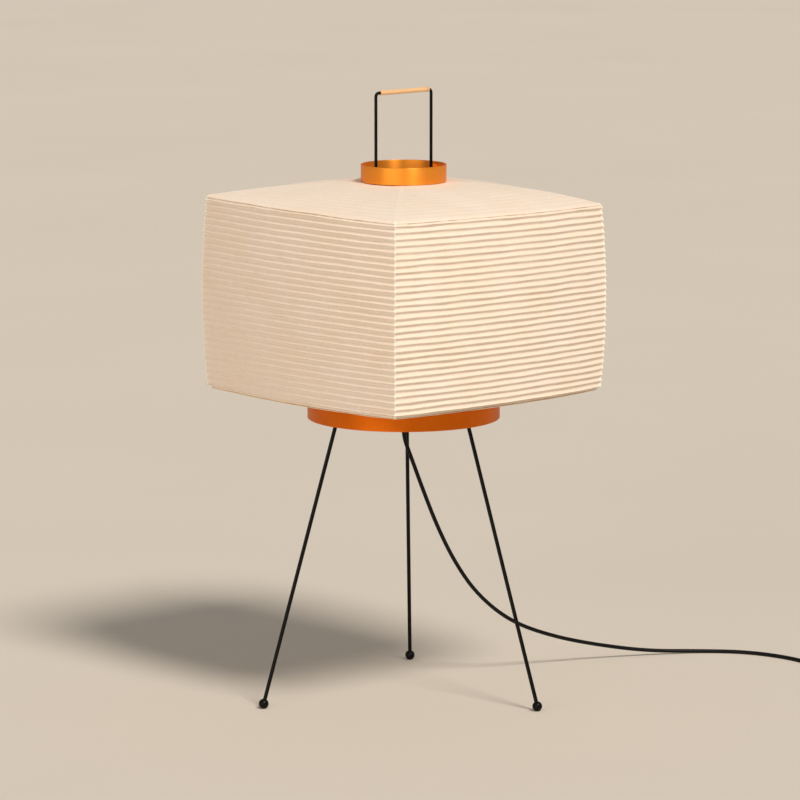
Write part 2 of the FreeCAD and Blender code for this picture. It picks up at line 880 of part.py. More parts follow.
def make_coil():
    """The wound length of cord, one unbroken tube of half turns with a straight end each way."""
    arcs = coil_arcs()
    first = arcs[0][0]
    last = arcs[-1][2]
    lead = along_x * cord_diameter
    edges = [Part.LineSegment(first - lead, first).toShape()]
    edges += [Part.Arc(*arc).toShape() for arc in arcs]
    edges.append(Part.LineSegment(last, last - lead).toShape())
    path = Part.Wire(edges)
    solid = path.makePipeShell([cord_section(first - lead, along_x)], True, False)
    share = round(solid.Volume / ideal_volume(path), 4)
    print("cord_coil length", round(path.Length, 1), "volume share", share)
    print("cord_coil least gap", round(coil_gap(arcs), 2))
    export("cord_coil", solid)


def make_tie():
    """The tie round one side of the coil."""
    left = [middle for start, middle, end in coil_arcs() if middle.x < start.x]
    reach = Vector(cord_radius + tie_clearance, 0, cord_radius + tie_clearance)
    low = Vector(min(p.x for p in left), left[0].y, min(p.z for p in left)) - reach
    high = Vector(max(p.x for p in left), left[0].y, max(p.z for p in left)) + reach
    skin = Vector(tie_thickness, 0, tie_thickness)
    half = along_y * (tie_width / 2)
    overrun = along_y * cut_overrun
    band = box(low - skin - half, high + skin + half)
    export("coil_tie", band.cut(box(low - half - overrun, high + half + overrun)))


def make_switch():
    """The rocker switch in the cord: two half cases, screws, axle and a tilted rocker."""
    entry = lamp_cord_route[-1]
    middle = Vector(entry[0] + switch_length / 2, entry[1], 0)
    half = switch_height / 2
    lower = rounded_plate(switch_length, switch_width, half, switch_corner, middle)
    upper = rounded_plate(switch_length, switch_width, half, switch_corner, middle + up * half)

    reach = Vector(rocker_length / 2 + rocker_gap, rocker_width / 2 + rocker_gap, 0)
    well_top = up * (switch_height + cut_overrun)
    well = box(middle - reach + up * (half - rocker_well), middle + reach + well_top)
    lower = lower.cut(well)
    upper = upper.cut(well)

    pivot = middle + up * (switch_height - rocker_drop)
    axle_base = pivot - along_y * (axle_length / 2)
    axle = Part.makeCylinder(axle_diameter / 2, axle_length, axle_base, along_y)
    upper = upper.cut(Part.makeCylinder(axle_diameter / 2 + press_clearance, axle_length, axle_base, along_y))

    screws = []
    for side in (-1, 1):
        base = middle + along_x * (side * switch_screw_spacing / 2)
        depth = switch_screw_height + slip_clearance
        lower = lower.cut(faceted_bore(switch_screw_diameter + 2 * press_clearance, depth, base))
        screws.append(faceted_rod(switch_screw_diameter, switch_screw_height, base + up * slip_clearance))
    export("switch_lower_case", lower)
    export("switch_upper_case", upper)
    export("switch_screws", *screws)
    export("rocker_axle", axle)

    crown = rocker_drop + rocker_rise
    hub = rocker_length / 4
    end = rocker_length / 2
    profile = [
        (-end, rocker_drop - rocker_rise),
        (-hub, -rocker_drop),
        (hub, -rocker_drop),
        (end, rocker_drop - rocker_rise),
        (end, crown),
        (0, rocker_drop),
        (-end, crown),
    ]
    points = [Vector(x, -rocker_width / 2, z) for x, z in profile]
    rocker = Part.Face(Part.makePolygon(points + points[:1])).extrude(along_y * rocker_width)
    start = along_y * (-rocker_width / 2)
    axle_bore = Part.makeCylinder(axle_diameter / 2 + running_clearance, rocker_width, start, along_y)
    rocker = rocker.cut(axle_bore)
    rocker.rotate(origin, along_y, rocker_tilt)
    rocker.translate(pivot)
    export("switch_rocker", rocker)


def make_plug():
    """The flat two-pin plug with its tapered boot, lying on the floor."""
    end = plug_cord_route[-1]
    axis_point = Vector(end[0], end[1], plug_axis_height)
    away = along_x * -1
    tip, root = plug_boot_tip_diameter / 2, plug_boot_root_diameter / 2
    outline = [(0, 0), (tip, 0), (root, plug_boot_length), (0, plug_boot_length)]
    export("plug_boot", turned(outline, axis_point, away))
    heel = Vector(axis_point.x - plug_boot_length, axis_point.y, 0)
    shoulder_reach = plug_length - plug_face_length
    half_plan = [(0, plug_heel_width / 2), (shoulder_reach, plug_width / 2), (plug_length, plug_width / 2)]
    rim = [heel + away * reach + along_y * side for reach, side in half_plan]
    rim += [heel + away * reach - along_y * side for reach, side in half_plan[::-1]]
    body = Part.Face(Part.makePolygon(rim + rim[:1])).extrude(up * plug_thickness)
    pins, sleeves = [], []
    for side in (-1, 1):
        face = axis_point + away * (plug_boot_length + plug_length) + along_y * (side * pin_spacing / 2)
        start = face - away * pin_seat
        shoulder = face + away * pin_sleeve_length
        body = body.cut(faceted_bore(pin_core_diameter + 2 * press_clearance, pin_seat, start, away))
        core = faceted_rod(pin_core_diameter, pin_seat + pin_sleeve_length, start, away)
        pins.append(core.fuse(Part.makeCylinder(pin_diameter / 2, pin_tip_length, shoulder, away)))
        bore = (pin_core_diameter + 2 * press_clearance) / math.cos(math.pi / small_facet_count)
        sleeves.append(
            faceted_tube(pin_sleeve_diameter, bore, pin_sleeve_length, face, away, small_facet_count)
        )
    export("plug_body", body)
    export("plug_pins", *pins)
    export("pin_sleeves", *sleeves)


os.makedirs("parts", exist_ok=True)
make_shade()
make_rings()
make_spider()
make_legs()
make_saddle_bar()
make_wire()
make_grip()
make_nipple()
make_gland()
make_bulb(make_lampholder())
free_cord("cord_lamp", lamp_cord_route)
free_cord("cord_to_coil", coil_cord_route)
make_coil()
free_cord("cord_to_plug", plug_cord_route)
make_tie()
make_switch()
make_plug()
print("height", round(grip_height + grip_diameter / 2, 2))
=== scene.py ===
"""A square paper lamp: ribbed paper shade, two enamelled rings, wire handle, wire legs and a mains cord.

Sizes are in millimetres and are turned to metres where a mesh is written. The lamp's axis is Z.
"""

import logging
import math
import random
from contextlib import contextmanager
from dataclasses import dataclass, replace
from enum import Enum
from functools import partial
from typing import Any, Callable, Iterator, Sequence

import bmesh
import bpy
from bpy.types import Material, Mesh, NodeSocket, NodeTree, Object
from mathutils import Matrix, Vector


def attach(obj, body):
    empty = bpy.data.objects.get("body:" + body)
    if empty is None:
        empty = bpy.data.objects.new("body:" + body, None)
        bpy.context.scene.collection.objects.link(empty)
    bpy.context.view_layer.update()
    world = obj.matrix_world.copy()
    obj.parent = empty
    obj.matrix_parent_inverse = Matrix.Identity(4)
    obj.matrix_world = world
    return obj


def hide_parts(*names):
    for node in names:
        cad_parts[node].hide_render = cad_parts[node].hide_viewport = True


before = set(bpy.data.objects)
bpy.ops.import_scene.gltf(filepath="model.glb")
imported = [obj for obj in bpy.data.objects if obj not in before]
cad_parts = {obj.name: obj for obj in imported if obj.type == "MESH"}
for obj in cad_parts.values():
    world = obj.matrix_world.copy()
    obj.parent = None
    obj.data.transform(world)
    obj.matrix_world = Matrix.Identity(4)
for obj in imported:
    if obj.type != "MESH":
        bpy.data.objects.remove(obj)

Point2 = tuple[float, float]
Point3 = tuple[float, float, float]
Adder = Callable[..., NodeSocket]
MM = 0.001
TINY = 1e-6
SHARP = 40.0
LOG = logging.getLogger("paper lamp")


class Way(Enum):
    """The direction in which a turned piece stands."""

    UP = (0.0, 0.0, 1.0)
    ALONG_Y = (0.0, 1.0, 0.0)
    BACK_X = (-1.0, 0.0, 0.0)

    def at(self, base: Point3) -> Matrix:
        """The placement, for millimetre points, of a piece that stands this way on a base point."""
        turn = Vector(Way.UP.value).rotation_difference(Vector(self.value)).to_matrix().to_4x4()
        return Matrix.Translation(Vector(base)) @ turn


class Body(Enum):
    """The part of the lamp that a piece moves with."""

    BASE = "base"
    SHADE = "shade"
    BULB = "bulb"
    GRIP = "grip"
    ROCKER = "rocker"


class Ends(Enum):
    """How a skin over rings of points ends."""

    OPEN = "in points on the axis"
    CAPPED = "in flat faces"
    JOINED = "last ring to first ring"


# Small helpers for nodes and meshes


def linear(code: str) -> tuple[float, float, float, float]:
    """Turn an sRGB hex colour into linear light.

    Args:
        code: six hex digits.

    Returns:
        Red, green, blue and an alpha of one.
    """
    values = [int(code[i:i + 2], 16) / 255 for i in (0, 2, 4)]
    red, green, blue = [v / 12.92 if v <= 0.04045 else ((v + 0.055) / 1.055) ** 2.4 for v in values]
    return red, green, blue, 1.0


def feed(tree: NodeTree, socket: NodeSocket, value: Any) -> None:
    """Link an input, or set its plain value.

    Args:
        tree: the socket's tree.
        socket: the input.
        value: another node's output, or a plain value.
    """
    if isinstance(value, NodeSocket):
        tree.links.new(value, socket)
    else:
        socket.default_value = value


def add_node(
    tree: NodeTree, kind: str, *values: Any, out: str | None = None, **settings: Any
) -> NodeSocket | None:
    """Add a node and feed its open inputs in order.

    A noise takes place, scale, detail and roughness; a map range takes a value, two bounds of it and
    what they become; a mix takes a share and two colours; a bump takes strength, distance and, last, height.

    Args:
        tree: the tree that gets the node.
        kind: the node's type.
        values: an output, a plain value or None to leave the input as it is.
        out: the output's name, where it isn't the first open one.
        settings: values of the node's own properties.

    Returns:
        The node's output.
    """
    node = tree.nodes.new(kind)
    for name, value in settings.items():
        setattr(node, name, value)
    for socket, value in zip([s for s in node.inputs if s.enabled], values):
        if value is not None:
            feed(tree, socket, value)
    return node.outputs[out] if out else next((s for s in node.outputs if s.enabled), None)


def per_metre(size: float) -> float:
    """The texture scale, in periods a metre, of a pattern with a size in millimetres."""
    return 1000.0 / size


def aimed(azimuth: float, elevation: float = 0.0) -> Vector:
    """The direction at an azimuth from +X and an elevation, both in degrees."""
    turn, rise = math.radians(azimuth), math.radians(elevation)
    return Vector((math.cos(rise) * math.cos(turn), math.cos(rise) * math.sin(turn), math.sin(rise)))


def linked(name: str, data: Any) -> Object:
    """Make an object and link it to the scene.

    Args:
        name: its name.
        data: its mesh, curve, camera or light.

    Returns:
        The object.
    """
    thing = bpy.data.objects.new(name, data)
    bpy.context.scene.collection.objects.link(thing)
    return thing


@contextmanager
def editing(mesh: Mesh) -> Iterator[bmesh.types.BMesh]:
    """Open a mesh for editing and write it back at the end.

    Args:
        mesh: the mesh.

    Returns:
        Its editable form.
    """
    edit = bmesh.new()
    edit.from_mesh(mesh)
    yield edit
    edit.to_mesh(mesh)
    edit.free()


def tidy_mesh(piece: Object, sharp: float = SHARP) -> None:
    """Merge doubles, turn the faces outward and shade the mesh smooth.

    Args:
        piece: the object whose mesh is tidied.
        sharp: edges sharper than this many degrees stay sharp.
    """
    with editing(piece.data) as edit:
        bmesh.ops.remove_doubles(edit, verts=edit.verts, dist=TINY)
        bmesh.ops.recalc_face_normals(edit, faces=edit.faces)
        for face in edit.faces:
            face.smooth = True
    piece.data.set_sharp_from_angle(angle=math.radians(sharp))


def new_piece(name: str, points: Sequence[Vector], faces: list[list[int]], sharp: float = SHARP) -> Object:
    """Make a mesh object with outward faces.

    Args:
        name: the object's name.
        points: in millimetres.
        faces: the numbers of each face's points.
        sharp: edges sharper than this many degrees stay sharp.

    Returns:
        The object.
    """
    mesh = bpy.data.meshes.new(name)
    mesh.from_pydata([[c * MM for c in point] for point in points], [], faces)
    piece = linked(name, mesh)
    tidy_mesh(piece, sharp)
    return piece


def faces_between(rings: Sequence[Sequence[int]]) -> list[list[int]]:
    """Faces, as point numbers, all round from each ring of point numbers to the next."""
    pairs = zip(rings, rings[1:])
    return [[low[k - 1], low[k], high[k], high[k - 1]] for low, high in pairs for k in range(len(low))]


def skinned(name: str, rings: Sequence[Sequence[Vector]], ends: Ends = Ends.CAPPED) -> Object:
    """Lay a closed skin over rings of points.

    Args:
        name: the object's name.
        rings: equally many points each, in millimetres.
        ends: how the skin is closed.

    Returns:
        The piece.
    """
    wide = len(rings[0])
    order = [list(range(row * wide, (row + 1) * wide)) for row in range(len(rings))]
    faces = faces_between(order + order[:1] if ends is Ends.JOINED else order)
    if ends is Ends.CAPPED:
        faces += [order[0], order[-1]]
    return new_piece(name, [point for ring in rings for point in ring], faces)


def turns_of(facets: int) -> list[float]:
    """Equal turns about an axis, in radians."""
    return [math.tau * k / facets for k in range(facets)]


def round_point(place: Matrix, reach: float, turn: float, height: float) -> Vector:
    """The point of a placed piece at a reach from its axis, a turn in radians and a height."""
    return place @ Vector((reach * math.cos(turn), reach * math.sin(turn), height))


def turned(name: str, outline: Sequence[Point2], place: Matrix, facets: int = 64) -> Object:
    """Turn a closed outline round an axis.

    Args:
        name: the object's name.
        outline: (radius, height) points in order, closed by itself or through the axis.
        place: where the piece stands.
        facets: faces round it.

    Returns:
        The turned piece.
    """
    turns = turns_of(facets)
    rings = [[round_point(place, reach, turn, height) for turn in turns] for reach, height in outline]
    from_axis = max(outline[0][0], outline[-1][0]) < TINY
    return skinned(name, rings, Ends.OPEN if from_axis else Ends.JOINED)


def rounded(outline: Sequence[Point2], radius: float, steps: int = 3) -> list[Point2]:
    """Round the corners of a closed outline in (radius, height) with small arcs.

    Args:
        outline: the corners; those on the axis stay sharp.
        radius: how far each arc starts from its corner.
        steps: straight runs in each arc.

    Returns:
        The rounded outline.
    """
    straight, longest_share = math.radians(176), 0.45
    result: list[Point2] = []
    for i, (x, y) in enumerate(outline):
        corner = Vector((x, y))
        run_in, run_out = Vector(outline[i - 1]) - corner, Vector(outline[(i + 1) % len(outline)]) - corner
        cut = min(radius, longest_share * run_in.length, longest_share * run_out.length)
        if x < TINY or cut < TINY or run_in.angle(run_out) > straight:
            result.append((x, y))
            continue
        start, end = corner + run_in.normalized() * cut, corner + run_out.normalized() * cut
        for t in (k / steps for k in range(steps + 1)):
            point = start * (1 - t) ** 2 + corner * 2 * t * (1 - t) + end * t**2
            result.append((point.x, point.y))
    return result


def drawn_tube(
    name: str, path: Sequence[Vector], radius: float, facets: int = 24, soft: float = 0.3
) -> Object:
    """A round wire along a smooth path, with softened ends.

    Args:
        name: the object's name.
        path: points of the centreline in millimetres.
        radius: of the wire.
        facets: faces round it.
        soft: radius of the soft edge at both ends.

    Returns:
        The wire.
    """
    last = len(path) - 1
    ways = [(path[min(i + 1, last)] - path[max(i - 1, 0)]).normalized() for i in range(last + 1)]
    stops = [(0, 0.0, radius - soft), (0, soft, radius)]
    stops += [(i, 0.0, radius) for i in range(1, last)]
    stops += [(last, -soft, radius), (last, 0.0, radius - soft)]
    side = ways[0].orthogonal().normalized()
    rings: list[list[Vector]] = []
    for i, shift, reach in stops:
        way = ways[i]
        side = (side - way * side.dot(way)).normalized()
        across = way.cross(side)
        middle = path[i] + way * shift
        rings.append([middle + side * (reach * math.cos(turn)) + across * (reach * math.sin(turn))
                      for turn in turns_of(facets)])
    return skinned(name, rings)


def plan_plate(name: str, plan: Sequence[Point2], low: float, high: float) -> Object:
    """A plate over an outline in X and Y, with an upright edge between two heights."""
    return skinned(name, [[Vector((x, y, height)) for x, y in plan] for height in (low, high)])


def rounded_plan(length: float, width: float, corner: float, centre: Point2, steps: int = 8) -> list[Point2]:
    """The outline of a rectangle with round corners.

    Args:
        length: its size in X.
        width: its size in Y.
        corner: the corners' radius.
        centre: its middle.
        steps: straight runs in each corner.

    Returns:
        Points in order.
    """
    points: list[Point2] = []
    for quarter, (sign_x, sign_y) in enumerate(((1, 1), (-1, 1), (-1, -1), (1, -1))):
        middle_x = centre[0] + sign_x * (length / 2 - corner)
        middle_y = centre[1] + sign_y * (width / 2 - corner)
        for k in range(steps + 1):
            turn = math.radians(90 * (quarter + k / steps))
            points.append((middle_x + corner * math.cos(turn), middle_y + corner * math.sin(turn)))
    return points


def soften_edges(piece: Object, width: float, segments: int = 2, sharp: float = SHARP) -> None:
    """Bevel a piece's sharp edges for good.

    Args:
        piece: the object.
        width: of the bevel, in millimetres, or zero for none.
        segments: faces across it.
        sharp: edges sharper than this many degrees are bevelled.
    """
    if width > 0:
        with editing(piece.data) as edit:
            edges = [e for e in edit.edges if e.is_manifold and e.calc_face_angle(0.0) > math.radians(sharp)]
            bmesh.ops.bevel(edit, geom=edges, offset=width * MM, segments=segments, profile=0.6,
                            affect="EDGES", clamp_overlap=True)
    tidy_mesh(piece, sharp)


def settled(source: Object, name: str) -> Object:
    """Turn an object with live modifiers into a plain mesh object and remove the source.

    Args:
        source: the object as evaluated.
        name: the new object's name.

    Returns:
        The plain mesh object.
    """
    graph = bpy.context.evaluated_depsgraph_get()
    mesh = bpy.data.meshes.new_from_object(
        source.evaluated_get(graph), preserve_all_data_layers=True, depsgraph=graph
    )
    bpy.data.objects.remove(source)
    mesh.name = name
    return linked(name, mesh)


def carved(piece: Object, cutter: Object) -> Object:
    """Cut another solid out of a piece.

    Args:
        piece: the solid.
        cutter: the solid to take away, which is removed.

    Returns:
        The cut piece, under the same name.
    """
    name = piece.name
    piece.name = name + "_uncut"
    modifier = piece.modifiers.new("cut", "BOOLEAN")
    modifier.operation = "DIFFERENCE"
    modifier.solver = "EXACT"
    modifier.object = cutter
    result = settled(piece, name)
    bpy.data.objects.remove(cutter)
    tidy_mesh(result)
    return result


def softened_copy(node: str, name: str, width: float) -> Object:
    """A copy of a modelled solid, with its facets merged and its edges softened.

    Args:
        node: the solid's name.
        name: the copy's name.
        width: of the soft edges, in millimetres.

    Returns:
        The copy.
    """
    copy = linked(name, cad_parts[node].data.copy())
    with editing(copy.data) as edit:
        bmesh.ops.remove_doubles(edit, verts=edit.verts, dist=2 * TINY)
        bmesh.ops.dissolve_limit(edit, angle_limit=math.radians(1.0), verts=edit.verts, edges=edit.edges)
    soften_edges(copy, width)
    return copy


class GeometryTree:
    """A geometry node tree with named inputs and the values that its modifier gives them."""

    def __init__(self, name: str, values: dict[str, float | Material]) -> None:
        """Start the tree.

        Args:
            name: the tree's name.
            values: for each named input, by its label.
        """
        self.tree = bpy.data.node_groups.new(name, "GeometryNodeTree")
        self.values = values
        self.socket("Geometry", "INPUT", "Geometry")
        for label, value in values.items():
            self.socket(label, "INPUT", "Material" if isinstance(value, Material) else "Float")
        self.socket("Geometry", "OUTPUT", "Geometry")
        self.given = self.tree.nodes.new("NodeGroupInput").outputs
        self.add = partial(add_node, self.tree)

    def socket(self, label: str, side: str, kind: str) -> None:
        """Give the tree an input or output socket of a kind."""
        self.tree.interface.new_socket(label, in_out=side, socket_type="NodeSocket" + kind)

    def close(self, geometry: NodeSocket, material: NodeSocket) -> None:
        """End the tree in plain geometry with the material that a socket gives."""
        plain = self.add("GeometryNodeRealizeInstances", geometry)
        self.add("NodeGroupOutput", self.add("GeometryNodeSetMaterial", plain, None, material))

    def run(self, source: Object, name: str) -> Object:
        """Run the tree on an object and keep the result as a plain mesh.

        Args:
            source: the object that the tree starts from, which is removed.
            name: the result's name.

        Returns:
            The result.
        """
        modifier = source.modifiers.new(self.tree.name, "NODES")
        modifier.node_group = self.tree
        for item in self.tree.interface.items_tree:
            if item.in_out == "INPUT" and item.name in self.values:
                modifier[item.identifier] = self.values[item.name]
        return settled(source, name)


# Finishes


@dataclass(frozen=True)
class Finish:
    """What every finish has: the record's slot, its name, its colour and the plain values of its shader."""

    slot: str
    name: str
    colour: str
    roughness: float = 0.5
    metallic: float = 0.0
    coat: float = 0.0
    specular: float = 0.5
    streak: float = 0.0
    sheen: float = 0.0
    sheen_colour: str = "FF6A22"

    def pattern(self, add: Adder, place: NodeSocket) -> dict[str, Any]:
        """The shader inputs that the finish patterns or changes; none for a plain one."""
        return {}

    def material(self) -> Material:
        """The material, made the first time that it is asked for.

        Returns:
            The material.
        """
        if self.name in bpy.data.materials:
            return bpy.data.materials[self.name]
        material = bpy.data.materials.new(self.name)
        material.use_nodes = True
        tree = material.node_tree
        tree.nodes.clear()
        shader = tree.nodes.new("ShaderNodeBsdfPrincipled")
        add = partial(add_node, tree)
        inputs = {
            "Base Color": linear(self.colour), "Roughness": self.roughness, "Metallic": self.metallic,
            "Coat Weight": self.coat, "Coat Roughness": 0.25, "Specular IOR Level": self.specular,
            "Anisotropic": self.streak,
        }
        if self.streak:
            inputs["Tangent"] = add("ShaderNodeCombineXYZ", 0.0, 0.0, 1.0)
        if self.sheen:
            tint = linear(self.sheen_colour)
            inputs |= {"Sheen Weight": self.sheen, "Sheen Roughness": 0.45, "Sheen Tint": tint}
        inputs |= self.pattern(add, add("ShaderNodeTexCoord", out="Object"))
        for label, value in inputs.items():
            feed(tree, shader.inputs[label], value)
        add("ShaderNodeOutputMaterial", shader.outputs[0])
        return material


@dataclass(frozen=True)
class Mottled(Finish):
    """A finish with soft patches of a second colour, uneven gloss and a fine grain."""

    second: str = "808080"
    patch: float = 12.0
    grain: float = 0.6
    grain_depth: float = 0.02
    gloss_spread: float = 0.1
    stretch: Point3 = (1.0, 1.0, 1.0)

    def pattern(self, add: Adder, place: NodeSocket) -> dict[str, Any]:
        """The patches, the gloss and the grain.

        Args:
            add: adds a node to the material.
            place: object coordinates.

        Returns:
            Shader inputs by name.
        """
        spread = add("ShaderNodeMapping", place, None, None, self.stretch)
        patches = add("ShaderNodeTexNoise", place, per_metre(self.patch), 3.0, 0.6)
        grain = add("ShaderNodeTexNoise", spread, per_metre(self.grain), 2.0, 0.5)
        share = add("ShaderNodeMapRange", patches, 0.35, 0.7, 0.0, 1.0)
        either_way = self.gloss_spread / 2
        shiny, dull = max(self.roughness - either_way, 0.02), self.roughness + either_way
        colours = linear(self.colour), linear(self.second)
        return {
            "Base Color": add("ShaderNodeMix", share, *colours, data_type="RGBA"),
            "Roughness": add("ShaderNodeMapRange", grain, 0.3, 0.7, shiny, dull),
            "Normal": add("ShaderNodeBump", 0.5, self.grain_depth * MM, None, grain),
        }


@dataclass(frozen=True)
class Clouded(Finish):
    """A smooth finish with faint clouds of a second colour, and further plain inputs of its own."""

    second: str = "808080"
    cloud: float = 14.0
    detail: float = 2.0
    further: tuple[tuple[str, float], ...] = ()

    def pattern(self, add: Adder, place: NodeSocket) -> dict[str, Any]:
        """The clouds and the further inputs.

        Args:
            add: adds a node to the material.
            place: object coordinates.

        Returns:
            Shader inputs by name.
        """
        cloud = add("ShaderNodeTexNoise", place, per_metre(self.cloud), self.detail)
        tint = add("ShaderNodeMix", cloud, linear(self.colour), linear(self.second), data_type="RGBA")
        return {"Base Color": tint, **dict(self.further)}


@dataclass(frozen=True)
class WashiPaper(Finish):
    """Kozo paper laid by hand: cloudy, with curly long fibres and small bark flecks that show up close."""

    cloud_colour: str = "F4E3CF"
    fibre_colour: str = "FFF6E6"
    fleck_colour: str = "D2AE80"
    # Painted highlight along the glued corner laps, where the folded corners catch the light.
    seam_highlight_colour: str = "FFFAEC"
    cloud: float = 55.0
    pulp: float = 3.2
    curl: float = 7.0
    curl_reach: float = 11.0
    fibre_spacing: float = 9.0
    fibre_share: float = 0.55
    fleck: float = 2.2
    tooth: float = 0.12

    def pattern(self, add: Adder, place: NodeSocket) -> dict[str, Any]:
        """The clouds, fibres and flecks, a painted highlight along the glued corner laps, and the paper's
        tooth.

        Args:
            add: adds a node to the material.
            place: object coordinates.

        Returns:
            Shader inputs by name.
        """
        clouds = add("ShaderNodeTexNoise", place, per_metre(self.cloud), 3.0, 0.55)
        pulp = add("ShaderNodeTexNoise", place, per_metre(self.pulp), 4.0, 0.65)
        bend = add("ShaderNodeTexNoise", place, per_metre(self.curl), 2.0, out="Color")
        shift = add("ShaderNodeVectorMath", bend, self.curl_reach * MM, operation="SCALE")
        curled = add("ShaderNodeVectorMath", place, shift, operation="ADD")
        net = add("ShaderNodeTexVoronoi", curled, per_metre(self.fibre_spacing), feature="DISTANCE_TO_EDGE")
        line = add("ShaderNodeMapRange", net, 0.0, 0.05, 1.0, 0.0)
        broken = add("ShaderNodeMapRange", pulp, 0.42, 0.62, 0.0, 1.0)
        fibres = add("ShaderNodeMath", line, broken, operation="MULTIPLY")
        faint = add("ShaderNodeMath", fibres, self.fibre_share, operation="MULTIPLY")
        specks = add("ShaderNodeTexNoise", place, per_metre(self.fleck), 1.0)
        flecks = add("ShaderNodeMapRange", specks, 0.7, 0.78, 0.0, 0.5)
        cloudy = add("ShaderNodeMapRange", clouds, 0.35, 0.68, 0.0, 1.0)
        # The laps on the corners are painted paler: a painted highlight where the folded corners catch the
        # light.
        seam_highlight = add("ShaderNodeAttribute", out="Fac", attribute_name="seam_highlight")
        colour = linear(self.colour)
        for share, layer in ((cloudy, self.cloud_colour), (faint, self.fibre_colour),
                             (flecks, self.fleck_colour), (seam_highlight, self.seam_highlight_colour)):
            colour = add("ShaderNodeMix", share, colour, linear(layer), data_type="RGBA")
        height = add("ShaderNodeMath", fibres, pulp, operation="ADD")
        return {
            "Base Color": colour, "Sheen Weight": 0.15, "Sheen Roughness": 0.5,
            "Normal": add("ShaderNodeBump", 0.6, self.tooth * MM, None, height),
        }


@dataclass(frozen=True)
class SplitCane(Finish):
    """Split and scraped cane: pale, with lengthwise grain and a darker band at each growth node."""

    grain_colour: str = "D9A66C"
    band_colour: str = "B9834B"
    band_place: float = 39.4
    band_width: float = 1.2
    grain: float = 0.7
    grain_depth: float = 0.1

    def pattern(self, add: Adder, place: NodeSocket) -> dict[str, Any]:
        """The grain and the growth band.

        Args:
            add: adds a node to the material.
            place: object coordinates.

        Returns:
            Shader inputs by name.
        """
        drawn = add("ShaderNodeMapping", place, None, None, (1.0, 0.06, 1.0))
        grain = add("ShaderNodeTexNoise", drawn, per_metre(self.grain), 3.0, 0.6)
        share = add("ShaderNodeMapRange", grain, 0.45, 0.75, 0.0, 0.7)
        colours = linear(self.colour), linear(self.grain_colour)
        streaked = add("ShaderNodeMix", share, *colours, data_type="RGBA")
        along = add("ShaderNodeSeparateXYZ", place, out="Y")
        from_band = add("ShaderNodeMath", along, self.band_place * MM, operation="SUBTRACT")
        away = add("ShaderNodeMath", from_band, operation="ABSOLUTE")
        width = self.band_width * MM
        band = add("ShaderNodeMapRange", away, 0.3 * width, width, 0.75, 0.0)
        return {
            "Base Color": add("ShaderNodeMix", band, streaked, linear(self.band_colour), data_type="RGBA"),
            "Normal": add("ShaderNodeBump", 0.4, self.grain_depth * MM, None, grain),
        }


# Hand-laid kozo paper, glued wet and dried tight: matte, warm white, cloudy with pale fibres.
PAPER = WashiPaper("paper", "washi_paper", "F5E6D6", roughness=0.88, specular=0.25)
# Split bamboo, planed and left raw: straw coloured with darker patches.
BAMBOO = Mottled(
    "paper", "split_bamboo", "D9B47C", second="B98B52", roughness=0.6, patch=9, grain=0.5, gloss_spread=0.15)
# Metallic stove enamel on steel strip: satin, orange with a golden lift in the light.
ORANGE = Mottled(
    "orange_enamel", "orange_metallic_enamel", "FFA434", second="FF9C2C", roughness=0.46, metallic=0.68,
    patch=30, grain=0.35, grain_depth=0.006, gloss_spread=0.06, streak=0.8, sheen=0.6)
# The same enamel on the lower ring, with painted shade: darker, deeper orange and less reflective, standing
# in for the shadow that the paper shade's overhang casts on it.
SHADED_ORANGE = Mottled(
    "orange_enamel", "orange_metallic_enamel_painted_shade", "F07C14", second="E8730F", roughness=0.56, metallic=0.8,
    specular=0.3, patch=30, grain=0.35, grain_depth=0.006, gloss_spread=0.06, streak=0.8)
# Black stove enamel on drawn wire: satin, slightly orange-peeled, with soft highlights.
BLACK = Mottled(
    "black_enamel", "black_stove_enamel", "040404", second="070707", roughness=0.36, specular=0.16, patch=14,
    grain=0.8)
# Scraped cane tube: pale peach with lengthwise grain and a dark growth ring.
CANE = SplitCane("cane", "scraped_cane", "F6C893", roughness=0.5, coat=0.1)
# Zinc-plated steel: bright grey with cloudy passivation.
ZINC = Mottled(
    "plain_steel", "zinc_plated_steel", "A9ABAE", second="94979C", roughness=0.36, metallic=1.0, patch=4,
    grain=0.5, grain_depth=0.01)
# Nickel-plated brass: bright, slightly warm and drawn smooth.
NICKEL = Mottled(
    "plain_steel", "nickel_plated_brass", "CFC8BC", second="C2BBAF", roughness=0.22, metallic=1.0, patch=5,
    grain=0.4, grain_depth=0.004)
# Phenolic moulding: near black, glossy, with a faint flow pattern.
BAKELITE = Mottled(
    "holder_plastic", "black_phenolic_moulding", "0E0D0D", second="191615", roughness=0.3, coat=0.1, patch=7,
    grain=0.5, grain_depth=0.01)
# Unglazed steatite ceramic: chalky off-white with fine pits.
STEATITE = Mottled(
    "porcelain", "unglazed_steatite", "EAE5DA", second="DDD6C6", roughness=0.7, patch=6, grain=0.3,
    grain_depth=0.03)
# Pressed brass sheet: yellow, with handling marks.
BRASS = Mottled(
    "brass", "pressed_brass", "C9A24E", second="B08A3C", roughness=0.28, metallic=1.0, patch=5, grain=0.5,
    grain_depth=0.01)
# Bulb glass etched on its inside: milky, smooth outside; light passes but no shape shows through.
GLASS = Clouded(
    "frosted_glass", "etched_bulb_glass", "F7F4EE", second="E9E6DF", roughness=0.35, further=(
        ("Transmission Weight", 0.35), ("IOR", 1.5), ("Subsurface Weight", 0.2), ("Subsurface Scale", 0.002)))
# Rolled aluminium bulb cap: pale grey, with soft draw lines round it.
ALUMINIUM = Mottled(
    "bulb_metal", "rolled_aluminium", "C4C5C8", second="B2B3B7", roughness=0.3, metallic=1.0, patch=5,
    grain=0.4, grain_depth=0.01, stretch=(1.0, 1.0, 4.0))
# Black glass insulator under the bulb's cap: glossy.
BLACK_GLASS = Mottled(
    "dark_glass", "black_glass_insulator", "0D0D10", second="16161B", roughness=0.12, patch=3,
    grain_depth=0.005)
